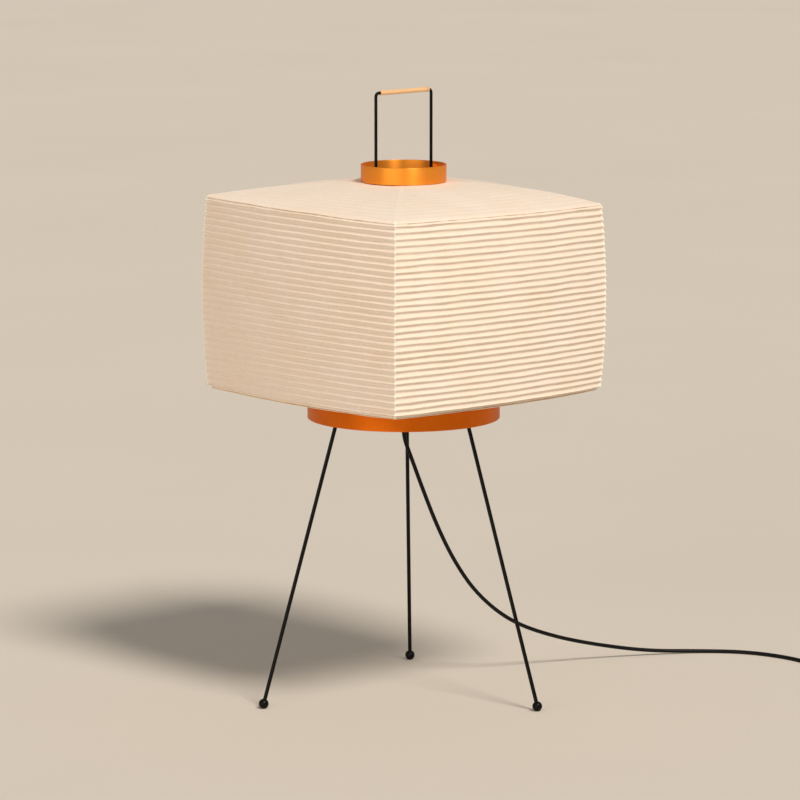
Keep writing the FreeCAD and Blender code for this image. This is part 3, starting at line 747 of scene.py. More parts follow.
# Extruded flexible PVC cord sheath: black, of low gloss and finely grained.
SHEATH = Mottled(
    "cord_sheath", "extruded_pvc_sheath", "060606", second="0A0A0A", roughness=0.48, specular=0.2, patch=20,
    grain=0.5, gloss_spread=0.14)
# Moulded ABS: black, spark-eroded texture that scatters the light.
ABS = Mottled(
    "switch_plastic", "moulded_abs", "101011", second="171718", roughness=0.42, patch=10, grain=0.35,
    grain_depth=0.03)
# Polished ABS rocker: smooth and glossy.
GLOSSY_ABS = Mottled(
    "switch_plastic", "polished_abs", "121213", second="161617", roughness=0.18, patch=8, grain_depth=0.004)
# Nylon tie: black, dull and finely grained.
NYLON = Mottled(
    "tie_plastic", "moulded_nylon", "161616", second="1F1F1F", roughness=0.55, patch=3, grain=0.4,
    grain_depth=0.03)
# The studio's floor: matte, pale and almost even, with clouds two thirds of a metre wide.
FLOOR = Clouded(
    "", "studio_floor", "DED7CC", second="D9D2C6", roughness=0.9, specular=0.1, cloud=2000 / 3, detail=3.0)


def place_piece(piece: Object, body: Body, finish: Finish, *nodes: str) -> Object:
    """Give a piece its material and body, and hide the solids that it stands for.

    Args:
        piece: the finished piece.
        body: the body that it moves with.
        finish: its finish, which the piece may already have.
        nodes: the solids that it stands for.

    Returns:
        The piece.
    """
    material = finish.material()
    if material.name not in piece.data.materials:
        piece.data.materials.clear()
        piece.data.materials.append(material)
    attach(piece, body.value)
    if nodes:
        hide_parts(*nodes)
    return piece


def place_copies(body: Body, finish: Finish, *rows: tuple[str, str, float]) -> list[Object]:
    """Place softened copies of solids, each row a solid, the copy's name and the width of its soft edges."""
    return [place_piece(softened_copy(node, name, width), body, finish, node) for node, name, width in rows]


@dataclass(frozen=True)
class RoundPart:
    """A part round the lamp's axis: its name, the solid it stands for, its finish and its base's height."""

    name: str
    node: str
    finish: Finish
    base: float

    def shape(self, place: Matrix) -> Object:
        """The part's mesh, which each kind of round part makes in its own way."""
        raise NotImplementedError

    def placed(self, body: Body) -> Object:
        """The part in its place, moving with a body."""
        return place_piece(self.shape(Matrix.Translation((0, 0, self.base))), body, self.finish, self.node)


@dataclass(frozen=True)
class Lathed(RoundPart):
    """A part turned from an outline in (radius, height), with softened corners."""

    outline: tuple[Point2, ...]
    soft: float
    steps: int = 3
    facets: int = 64

    def shape(self, place: Matrix) -> Object:
        """The turned part, standing at a place."""
        return turned(self.name, rounded(self.outline, self.soft, self.steps), place, self.facets)


@dataclass(frozen=True)
class Threaded(RoundPart):
    """A tube with a rolled round thread on its outside, or a plain tube if the thread has no depth."""

    radius: float
    length: float
    pitch: float
    depth: float
    bore: float
    facets: int = 48
    fading: float = 2.0
    rows_in_turn: int = 8

    def shape(self, place: Matrix) -> Object:
        """Make the tube.

        Args:
            place: where it stands.

        Returns:
            The tube.
        """
        rows = max(int(self.length / self.pitch * self.rows_in_turn), self.rows_in_turn)
        turns = turns_of(self.facets)
        rings: list[list[Vector]] = []
        for row in range(rows + 1):
            height = self.length * row / rows
            fade = max(min(1.0, height / self.fading, (self.length - height) / self.fading), 0.0)
            waves = [0.5 - 0.5 * math.cos(math.tau * height / self.pitch - turn) for turn in turns]
            rings.append([round_point(place, self.radius - self.depth * wave * fade, turn, height)
                          for wave, turn in zip(waves, turns)])
        for height in (self.length, 0.0):
            rings.append([round_point(place, self.bore, turn, height) for turn in turns])
        return skinned(self.name, rings, Ends.JOINED)


# The shade


def quarter_turn(quarter: int) -> Matrix:
    """The turn from the +X side to the side that many quarters on."""
    return Matrix.Rotation(math.radians(90 * quarter), 3, "Z")


@dataclass(frozen=True)
class Row:
    """A level line of the paper's +X side: a bowed rib, or a line of paper between two ribs."""

    half: float
    height: float
    bulge: float
    relief: float = 0.0
    phase: float = 0.0
    way: Point2 = (-1.0, 0.0)

    def way_to(self, after: "Row") -> Point2:
        """The inward way, outward from the axis and up, of paper that runs from this row to another."""
        run = Vector((after.half - self.half, after.height - self.height))
        return run.y / run.length, -run.x / run.length

    def toward(self, after: "Row", share: float, relief: float) -> "Row":
        """A row between this one and the next.

        Args:
            after: the next row.
            share: from 0 here to 1 there.
            relief: how deep the paper may lie there.

        Returns:
            The row.
        """
        pairs = ((self.half, after.half), (self.height, after.height), (self.bulge, after.bulge))
        half, height, bulge = [a + (b - a) * share for a, b in pairs]
        return Row(half, height, bulge, relief, share, self.way_to(after))

    def at(self, across: float) -> tuple[Vector, Vector]:
        """A point of the row's arc and the inward way there.

        Args:
            across: from -1 at one corner to 1 at the other.

        Returns:
            The point and the way.
        """
        radius = (self.half * self.half + self.bulge * self.bulge) / (2 * self.bulge)
        turn = math.asin(min(self.half / radius, 1.0)) * across
        reach = self.half + self.bulge - radius * (1 - math.cos(turn))
        point = Vector((reach, radius * math.sin(turn), self.height))
        out, up = self.way
        return point, Vector((out * point.x / self.half, out * point.y / self.half, up))


@dataclass
class PaperShade:
    """Four glued paper panels over split bamboo hoops, with folded laps on the corners."""

    ring_low: float = 671.3
    side_high: float = 649.5
    side_height: float = 249.0
    side_low: float = 400.5
    lower_ring_top: float = 387.0
    top_ring_radius: float = 55.0
    top_ring_wall: float = 2.6
    bottom_ring_radius: float = 124.5
    bottom_ring_wall: float = 2.2
    overhang: float = 0.4
    chords: int = 4
    half_side: float = 181.4
    barrel: float = 4.2
    side_bulge: float = 12.2
    upper_shoulder: float = 7.0
    lower_shoulder: float = 5.0
    shoulder_angles: tuple[float, ...] = (30.0, 60.0)
    shoulder_reliefs: tuple[float, ...] = (0.3, 1.0)
    rib_relief: float = 2.9
    slope_relief: float = 0.42
    relief_spread: tuple[float, float] = (0.86, 1.06)
    relief_curve: tuple[Point2, ...] = ((0.11, 0.42), (0.25, 0.82), (0.42, 1.0), (0.62, 0.78), (0.82, 0.36))
    side_ribs: int = 29
    top_ribs: int = 13
    bottom_ribs: int = 6
    dome_power: float = 1.85
    lap_width: float = 1.8
    lap_waist: tuple[float, float] = (1.15, 0.6)
    lap_edge: tuple[float, float] = (0.6, 0.5)
    lap_relief: float = 0.45
    # How strong the painted corner highlight is on the slopes, against the sides.
    slope_seam_highlight: float = 0.3
    lean: float = 4.4
    slack: float = 0.9
    slack_patch: float = 85.0
    wobble: float = 2.2
    wobble_patch: float = 60.0
    wobble_shift: Point3 = (3.1, 1.7, 0.0)
    wobble_stretch: Point3 = (1.0, 1.0, 5.0)
    dip_patch: float = 24.0
    dip_spread: tuple[float, float] = (0.66, 1.04)
    crinkle: float = 0.45
    crinkle_patch: float = 9.0
    paper: float = 0.5
    hoop: float = 0.6
    hoop_gap: float = 0.1
    hoop_points: int = 12
    hoop_facets: int = 6
    rows_between: int = 8
    columns: int = 60
    crowding: float = 1.9
    seed: int = 11

    def bulge(self, half: float, ring: float) -> float:
        """How far a side of a slope bulges, from a full circle at a ring to the shoulder's bulge.

        Args:
            half: the row's half side.
            ring: the ring's inner radius.

        Returns:
            The bulge in the middle of the side.
        """
        ring_half = ring / math.sqrt(2)
        share = min((half - ring_half) / (self.half_side - ring_half), 1)
        return ring - ring_half + (self.side_bulge - ring + ring_half) * share

    def stations(self) -> list[Row]:
        """The ribs from the upper ring to the lower one, each with the relief of the paper below it.

        Returns:
            The ribs.
        """
        fit, root = math.cos(math.radians(45 / self.chords)), math.sqrt(2)
        top = self.top_ring_radius - self.top_ring_wall
        bottom = self.bottom_ring_radius - self.bottom_ring_wall
        rows = [Row(top / root, self.ring_low, self.bulge(top / root, top))]
        start = (self.top_ring_radius / fit + self.overhang) / root
        end = self.half_side - self.upper_shoulder
        for k in range(self.top_ribs + 1):
            share = k / self.top_ribs
            half = start + (end - start) * share
            height = self.ring_low - (self.ring_low - self.side_high) * share**self.dome_power
            rows.append(Row(half, height, self.bulge(half, top), self.slope_relief))
        for angle, relief in zip(self.shoulder_angles, self.shoulder_reliefs):
            turn, radius = math.radians(angle), self.upper_shoulder
            half = self.half_side - radius * (1 - math.sin(turn))
            rows.append(Row(half, self.side_high - radius * (1 - math.cos(turn)), self.side_bulge, relief))
        span = self.side_height - self.upper_shoulder - self.lower_shoulder
        for k in range(self.side_ribs + 1):
            share = k / self.side_ribs
            half = self.half_side + self.barrel * 4 * share * (1 - share)
            height = self.side_high - self.upper_shoulder - span * share
            rows.append(Row(half, height, self.side_bulge * half / self.half_side, self.rib_relief))
        start = (self.bottom_ring_radius / fit + self.overhang) / root
        end = self.half_side - self.lower_shoulder
        for k in range(self.bottom_ribs + 1):
            share = k / self.bottom_ribs
            half = end + (start - end) * share
            height = self.side_low - (self.side_low - self.lower_ring_top) * share
            rows.append(Row(half, height, self.bulge(half, bottom), self.slope_relief if share < 1 else 0.0))
        rows.append(Row(bottom / root, self.lower_ring_top, self.bulge(bottom / root, bottom)))
        return rows

    def fine_rows(self) -> list[Row]:
        """The rows of the paper's grid, each rib and the lines between it and the next.

        Returns:
            The rows from top to bottom.
        """
        stations, dice = self.stations(), random.Random(self.seed)
        rows: list[Row] = []
        for first, after in zip(stations, stations[1:]):
            relief = first.relief * dice.uniform(*self.relief_spread)
            steps = self.rows_between if first.relief else 1
            rows += [first.toward(after, k / steps, relief) for k in range(steps + (after is stations[-1]))]
        return rows

    def leaned(self, point: Vector) -> Vector:
        """A point after the shade's top has settled a little to one side between its rings.

        Args:
            point: the point of an even shade.

        Returns:
            The point, higher or lower.
        """
        corner = math.hypot(self.half_side, self.half_side)
        side = -(point.x + point.y) / math.sqrt(2) / corner
        low, high, ring = self.side_low, self.side_high, self.ring_low
        share = (point.z - low) / (high - low) if point.z < high else (ring - point.z) / (ring - high)
        return point + Vector((0, 0, self.lean * side * min(max(share, 0), 1)))

    def panel_grid(self, name: str, quarter: int) -> Object:
        """The closed sheet of one panel before its ribs are raised, with the attributes that the tree reads.

        Args:
            name: the object's name.
            quarter: quarter turns from +X.

        Returns:
            The grid as an object.
        """
        rows, spin = self.fine_rows(), quarter_turn(quarter)
        even = [2 * k / self.columns - 1 for k in range(self.columns + 1)]
        across = [math.copysign(1 - (1 - abs(share)) ** self.crowding, share) for share in even]
        points: list[Vector] = []
        facts: dict[str, list[float]] = {"phase": [], "relief": [], "seam_highlight": [], "way_in": []}
        widest, waist = self.lap_waist
        for skin in (0.0, self.paper):
            for row in rows:
                reach = self.lap_width * (widest - waist * math.sin(math.pi * row.phase))
                for share in across:
                    point, inward = row.at(share)
                    past = (row.half - abs(point.y) - reach * self.lap_edge[0]) / (reach * self.lap_edge[1])
                    lap = 1 - min(max(past, 0), 1)
                    points.append(self.leaned(spin @ (point + inward * skin)))
                    facts["phase"].append(row.phase)
                    facts["relief"].append(row.relief * (1 - lap * (1 - self.lap_relief)))
                    # The lap's share also sets the painted corner highlight, which is fainter on the slopes.
                    facts["seam_highlight"].append(
                        lap * lap * (3 - 2 * lap) * (1 if row.height < self.side_high else self.slope_seam_highlight))
                    facts["way_in"].extend(spin @ inward)
        wide, inner = len(across), len(across) * len(rows)
        loops = [[row * wide + k for k in range(wide)] +
                 [inner + row * wide + k for k in reversed(range(wide))] for row in range(len(rows))]
        faces = faces_between(loops)
        for rim in (loops[0], loops[-1]):
            faces += [[rim[k], rim[k + 1], rim[-k - 2], rim[-k - 1]] for k in range(wide - 1)]
        piece = new_piece(name, points, faces, sharp=180)
        for label, values in facts.items():
            kind, field = ("FLOAT_VECTOR", "vector") if label == "way_in" else ("FLOAT", "value")
            piece.data.attributes.new(label, kind, "POINT").data.foreach_set(field, values)
        return piece

    def hoop_lines(self) -> Object:
        """Closed lines just inside the paper, one for each bamboo hoop, with their inward ways.

        The stations at the two rings have no hoop.

        Returns:
            An object of edges.
        """
        points: list[Vector] = []
        edges: list[tuple[int, int]] = []
        ways: list[float] = []
        stations = self.stations()
        inset = self.paper + self.hoop + self.hoop_gap
        for k in range(2, len(stations) - 1):
            row = replace(stations[k], way=stations[k - 1].way_to(stations[k + 1]))
            first = len(points)
            for spin in (quarter_turn(quarter) for quarter in range(4)):
                for step in range(self.hoop_points):
                    point, inward = row.at(2 * step / self.hoop_points - 1)
                    points.append(self.leaned(spin @ (point + inward * inset)) * MM)
                    ways.extend(spin @ inward)
            count = len(points) - first
            edges += [(first + i, first + (i + 1) % count) for i in range(count)]
        mesh = bpy.data.meshes.new("hoop_lines")
        mesh.from_pydata(points, edges, [])
        mesh.attributes.new("way_in", "FLOAT_VECTOR", "POINT").data.foreach_set("vector", ways)
        return linked("hoop_lines", mesh)

    def drift(self, work: GeometryTree) -> NodeSocket:
        """The slow waviness of paper and hoops alike, as an offset.

        Args:
            work: the tree that gets the nodes.

        Returns:
            The offset's socket.
        """
        add = work.add
        place = add("GeometryNodeInputPosition")
        slack = add("ShaderNodeTexNoise", place, per_metre(self.slack_patch), 1.0)
        inwards = add("ShaderNodeMath", slack, work.given["Slack"], operation="MULTIPLY")
        way = add("GeometryNodeInputNamedAttribute", "way_in", data_type="FLOAT_VECTOR")
        sag = add("ShaderNodeVectorMath", way, inwards, operation="SCALE")
        moved = add("ShaderNodeVectorMath", place, self.wobble_shift, operation="ADD")
        squeezed = add("ShaderNodeVectorMath", moved, self.wobble_stretch, operation="MULTIPLY")
        lift = add("ShaderNodeTexNoise", squeezed, per_metre(self.wobble_patch), 1.0)
        centred = add("ShaderNodeMath", lift, 0.5, operation="SUBTRACT")
        rise = add("ShaderNodeMath", centred, work.given["Wobble"], operation="MULTIPLY")
        upright = add("ShaderNodeCombineXYZ", None, None, rise)
        return add("ShaderNodeVectorMath", sag, upright, operation="ADD")

    def rib_tree(self) -> GeometryTree:
        """The tree that draws the paper in between the ribs.

        Returns:
            The tree.
        """
        work = GeometryTree("paper_between_ribs", {
            "Depth": MM, "Slack": self.slack * MM, "Wobble": self.wobble * MM, "Crinkle": self.crinkle * MM,
            "Paper": PAPER.material()})
        add = work.add
        phase = add("GeometryNodeInputNamedAttribute", "phase", data_type="FLOAT")
        relief = add("GeometryNodeInputNamedAttribute", "relief", data_type="FLOAT")
        way = add("GeometryNodeInputNamedAttribute", "way_in", data_type="FLOAT_VECTOR")
        profile = add("ShaderNodeFloatCurve", None, phase)
        mapping = profile.node.mapping
        stops = mapping.curves[0].points
        stops[0].location, stops[1].location = (0.0, 0.0), (1.0, 0.0)
        for place, depth in self.relief_curve:
            stops.new(place, depth)
        mapping.update()
        position = add("GeometryNodeInputPosition")
        uneven = add("ShaderNodeTexNoise", position, per_metre(self.dip_patch), 2.0)
        spread = add("ShaderNodeMapRange", uneven, 0.3, 0.7, *self.dip_spread)
        crumple = add("ShaderNodeTexNoise", position, per_metre(self.crinkle_patch), 2.0)
        depth = profile
        for factor in (relief, spread, work.given["Depth"]):
            depth = add("ShaderNodeMath", depth, factor, operation="MULTIPLY")
        crease = add("ShaderNodeMath", crumple, work.given["Crinkle"], operation="MULTIPLY")
        total = add("ShaderNodeMath", depth, crease, operation="ADD")
        inwards = add("ShaderNodeVectorMath", way, total, operation="SCALE")
        offset = add("ShaderNodeVectorMath", inwards, self.drift(work), operation="ADD")
        drawn = add("GeometryNodeSetPosition", work.given["Geometry"], None, None, offset)
        work.close(drawn, work.given["Paper"])
        return work

    def hoop_tree(self) -> GeometryTree:
        """The tree that gives each hoop its thickness.

        Returns:
            The tree.
        """
        work = GeometryTree("bamboo_hoops", {
            "Radius": self.hoop * MM, "Slack": self.slack * MM, "Wobble": self.wobble * MM,
            "Bamboo": BAMBOO.material()})
        moved = work.add("GeometryNodeSetPosition", work.given["Geometry"], None, None, self.drift(work))
        lines = work.add("GeometryNodeMeshToCurve", moved)
        section = work.add("GeometryNodeCurvePrimitiveCircle", self.hoop_facets, work.given["Radius"])
        work.close(work.add("GeometryNodeCurveToMesh", lines, section), work.given["Bamboo"])
        return work

    def make(self) -> list[Object]:
        """Build the panels and the hoops.

        Returns:
            The pieces.
        """
        work = self.rib_tree()
        pieces: list[Object] = []
        for quarter, side in enumerate(("right", "back", "left", "front")):
            panel = work.run(self.panel_grid("grid_" + side, quarter), "washi_panel_" + side)
            pieces.append(place_piece(panel, Body.SHADE, PAPER, "paper_panel_" + side))
        hoops = self.hoop_tree().run(self.hoop_lines(), "bamboo_hoops")
        return pieces + [place_piece(hoops, Body.SHADE, BAMBOO)]


@dataclass
class ShadeRings:
    """The two bent steel rings with rounded edges, and what holds them."""

    rings: tuple[Lathed, ...] = (
        Lathed("upper_steel_ring", "top_ring", ORANGE, 671.3, (
            (52.4, 0), (55, 0), (55, 22), (52.4, 22)), soft=0.7, steps=4, facets=160),
        # The lower ring wears the copy of the enamel with painted shade.
        Lathed("lower_steel_ring", "bottom_ring", SHADED_ORANGE, 365.0, (
            (122.3, 0), (124.5, 0), (124.5, 22), (122.3, 22)), soft=0.7, steps=4, facets=160),
    )

    def make(self) -> list[Object]:
        """Build the rings and dress their lugs and saddles.

        Returns:
            The pieces.
        """
        rings = [ring.placed(Body.SHADE) for ring in self.rings]
        return rings + place_copies(Body.SHADE, ORANGE, ("ring_lugs", "ring_angle_lugs", 0.3),
                                    ("ring_saddles", "ring_wire_saddles", 0.3))


# The frame


@dataclass
class CarryingHandle:
    """The wire that rises through the shade and crosses over as the handle, with its cane grip."""

    low: float = 379.5
    top: float = 786.8
    reach: float = 48.0
    bend: float = 4.8
    upright_steps: int = 4
    bend_steps: int = 8
    wire_radius: float = 2.0
    grip_radius: float = 3.06
    grip_start: float = -40.8
    grip_end: float = 43.2
    grip_steps: int = 40
    grip_unevenness: float = 0.02
    grip_rim: tuple[Point2, ...] = ((2.08, 0.0), (2.75, 0.0), (3.05, 0.3))
    node_place: float = 39.4
    node_ridge: Point2 = (0.14, 0.9)
    node_waist: Point2 = (0.1, 1.0)
    waist_place: float = 1.9
    seed: int = 5

    def wire_path(self) -> list[Vector]:
        """The wire's centreline, from one socket to the other.

        Returns:
            Its points.
        """
        points: list[Vector] = []
        straight = self.top - self.bend
        for side in (-1, 1):
            half = [Vector((0, side * self.reach, self.low + (straight - self.low) * k / self.upright_steps))
                    for k in range(self.upright_steps + 1)]
            for k in range(1, self.bend_steps + 1):
                turn = math.radians(90 * k / self.bend_steps)
                across = self.reach - self.bend + self.bend * math.cos(turn)
                half.append(Vector((0, side * across, straight + self.bend * math.sin(turn))))
            points += half if side < 0 else half[::-1]
        return points

    def grip(self) -> Object:
        """The cane tube, slightly thicker at its growth node and uneven round.

        Returns:
            The grip.
        """
        length, rim = self.grip_end - self.grip_start, self.grip_rim[-1][1]
        node = self.node_place - self.grip_start
        dice = random.Random(self.seed)
        outline = list(self.grip_rim)
        for k in range(1, self.grip_steps):
            height = rim + (length - 2 * rim) * k / self.grip_steps
            ridge = self.node_ridge[0] * math.exp(-(((height - node) / self.node_ridge[1]) ** 2))
            past_node = height - node - self.waist_place
            waist = self.node_waist[0] * math.exp(-((past_node / self.node_waist[1]) ** 2))
            uneven = dice.uniform(-self.grip_unevenness, self.grip_unevenness)
            outline.append((self.grip_radius + ridge - waist + uneven, height))
        outline += [(radius, length - height) for radius, height in reversed(self.grip_rim)]
        return turned("cane_grip", outline, Way.ALONG_Y.at((0, self.grip_start, self.top)), facets=32)

    def make(self) -> list[Object]:
        """Build the wire and its grip, and dress the parts that hold the wire.

        Returns:
            The pieces.
        """
        wire = drawn_tube("handle_wire", self.wire_path(), self.wire_radius)
        return [
            place_piece(wire, Body.BASE, BLACK, "frame_wire"),
            place_piece(self.grip(), Body.GRIP, CANE, "handle_grip"),
            *place_copies(Body.BASE, ZINC, ("stop_collars", "wire_stop_collars", 0.25),
                          ("saddle_bar", "wire_saddle_bar", 0.3), ("grub_screws", "socket_grub_screws", 0.2)),
        ]


@dataclass
class LegStand:
    """The three-armed spider, the wire legs and their ball feet."""

    sides: tuple[str, ...] = ("back", "left", "right")
    angles: tuple[float, ...] = (135.0, 255.0, 15.0)
    foot_circle: float = 203.0
    head_circle: float = 94.5
    head_height: float = 374.0
    boss_top: float = 381.0
    leg_radius: float = 2.5
    leg_start: float = 1.4
    ball_radius: float = 6.4
    ball_flat: float = 0.2
    ball_steps: int = 24

    def leg_points(self, angle: float) -> list[Vector]:
        """The centreline of a leg from inside its ball up to the top of its boss.

        Args:
            angle: degrees about the lamp's axis.

        Returns:
            Its two ends.
        """
        foot = aimed(angle) * self.foot_circle + Vector((0, 0, self.ball_radius - self.ball_flat))
        head = aimed(angle) * self.head_circle + Vector((0, 0, self.head_height))
        axis = (head - foot).normalized()
        return [foot + axis * self.leg_start, foot + axis * ((self.boss_top - foot.z) / axis.z)]

    def ball(self, name: str, angle: float) -> Object:
        """One ball foot with its worn flat.

        Args:
            name: the piece's name.
            angle: degrees about the lamp's axis.

        Returns:
            The ball.
        """
        lowest, centre = math.asin(self.ball_flat / self.ball_radius - 1), self.ball_radius - self.ball_flat
        outline: list[Point2] = [(0.0, 0.0)]
        for k in range(self.ball_steps):
            turn = lowest + (math.pi / 2 - lowest) * k / self.ball_steps
            outline.append((self.ball_radius * math.cos(turn), centre + self.ball_radius * math.sin(turn)))
        outline.append((0.0, centre + self.ball_radius))
        return turned(name, outline, Way.UP.at(aimed(angle) * self.foot_circle), facets=40)

    def make(self) -> list[Object]:
        """Build the legs and feet and dress the spider.

        Returns:
            The pieces.
        """
        legs: list[Object] = []
        balls: list[Object] = []
        for side, angle in zip(self.sides, self.angles):
            leg = drawn_tube("wire_leg_" + side, self.leg_points(angle), self.leg_radius)
            legs.append(place_piece(leg, Body.BASE, BLACK, "leg_" + side))
            balls.append(place_piece(self.ball("ball_foot_" + side, angle), Body.BASE, BLACK))
        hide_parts("ball_feet")
        spider = place_copies(Body.BASE, BLACK, ("leg_spider", "three_armed_spider", 0.4))
        return legs + balls + spider + place_copies(Body.BASE, ZINC, ("leg_nuts", "leg_lock_nuts", 0.3))


@dataclass
class Lampholder:
    """The lampholder with its threaded tube, nuts and cord grip."""

    parts: tuple[RoundPart, ...] = (
        Lathed("steatite_insert", "porcelain_insert", STEATITE, 411.0, (
            (0, 0), (17.6, 0), (17.6, 8), (0, 8)), soft=0.6),
        Threaded("threaded_shell", "screw_shell", BRASS, 419.0,
                 radius=13.95, length=22.0, pitch=3.63, depth=0.0, bore=13.45),
        Threaded("threaded_steel_tube", "threaded_tube", ZINC, 358.5,
                 radius=5.0, length=35.5, pitch=1.0, depth=0.35, bore=3.5, facets=40, fading=1.0),
        Lathed("cord_strain_relief", "cord_grip", BAKELITE, 370.5, (
            (0, -20), (4.3, -20), (4.9, -16), (7.5, -6), (7.5, 0), (5.12, 0), (5.12, -12),
            (0, -12)), soft=0.8, facets=40),
        Lathed("lampholder_cap", "holder_cap", BAKELITE, 384.0, (
            (5.05, 0), (8, 0), (8, 4), (20, 16), (20, 21), (17.75, 21), (17.75, 27), (15.6, 27), (15.6, 16),
            (6.9, 6.2), (5.05, 6.2)), soft=0.8, steps=4),
        Lathed("lampholder_skirt", "holder_skirt", BAKELITE, 405.0, (
            (17.8, 0), (20, 0), (20, 40), (17.8, 40)), soft=0.6),
    )

    def make(self) -> list[Object]:
        """Build the lampholder.

        Returns:
            The pieces.
        """
        return [
            *[part.placed(Body.BASE) for part in self.parts],
            *place_copies(Body.BASE, ZINC, ("tube_nuts", "tube_lock_nuts", 0.3),
                          ("lock_washer", "toothed_lock_washer", 0.15)),
            *place_copies(Body.BASE, BRASS, ("centre_contact", "sprung_centre_contact", 0.1),
                          ("terminal_screws", "terminal_clamp_screws", 0.25)),
        ]


@dataclass
class Bulb:
    """The screw bulb."""

    cap: Threaded = Threaded(
        "bulb_screw_cap", "bulb_cap", ALUMINIUM, 424.8,
        radius=13.2, length=23.0, pitch=3.63, depth=1.3, bore=11.4, facets=64, fading=3.0)
    cone: Lathed = Lathed("bulb_glass_insulator", "bulb_insulator", BLACK_GLASS, 422.2, (
        (0, 0), (4.5, 0), (11.8, 2.6), (0, 2.6)), soft=0.4, facets=48)
    tip: Lathed = Lathed("bulb_solder_tip", "bulb_tip", ALUMINIUM, 421.0, (
        (0, 0), (1.7, 0), (4.3, 1.2), (0, 1.2)), soft=0.5, facets=32)
    globe_radius: float = 30.0
    globe_centre: float = 499.0
    globe_start: float = -32.0
    globe_steps: int = 24
    neck: float = 12.75
    neck_low: float = 441.8
    neck_high: float = 448.8
    shoulder: float = 9.0
    shoulder_steps: int = 12
    wall: float = 0.9

    def globe_outline(self, radius: float, neck: float) -> list[Point2]:
        """One skin of the glass, from the neck up to the top.

        Args:
            radius: the globe's radius.
            neck: the neck's radius.

        Returns:
            (radius, height) points.
        """
        lowest, low = math.radians(self.globe_start), Vector((neck, self.neck_high))
        high = Vector((radius * math.cos(lowest), self.globe_centre + radius * math.sin(lowest)))
        near = low + Vector((0, self.shoulder))
        far = high + Vector((math.sin(lowest), -math.cos(lowest))) * self.shoulder
        points: list[Point2] = [(neck, self.neck_low), tuple(low)]
        for t in (k / self.shoulder_steps for k in range(1, self.shoulder_steps)):
            points.append(tuple(
                low * (1 - t) ** 3 + near * 3 * t * (1 - t) ** 2 + far * 3 * t * t * (1 - t) + high * t**3))
        for k in range(self.globe_steps):
            turn = lowest + (math.pi / 2 - lowest) * k / self.globe_steps
            points.append((radius * math.cos(turn), self.globe_centre + radius * math.sin(turn)))
        return points + [(0.0, self.globe_centre + radius)]

    def make(self) -> list[Object]:
        """Build the bulb.

        Returns:
            The pieces.
        """
        outside = self.globe_outline(self.globe_radius, self.neck)
        inside = self.globe_outline(self.globe_radius - self.wall, self.neck - self.wall)
        globe = turned("bulb_glass", outside + inside[::-1], Matrix())
        return [place_piece(globe, Body.BULB, GLASS, "bulb_globe")] + [
            part.placed(Body.BULB) for part in (self.cap, self.cone, self.tip)]


# The cord


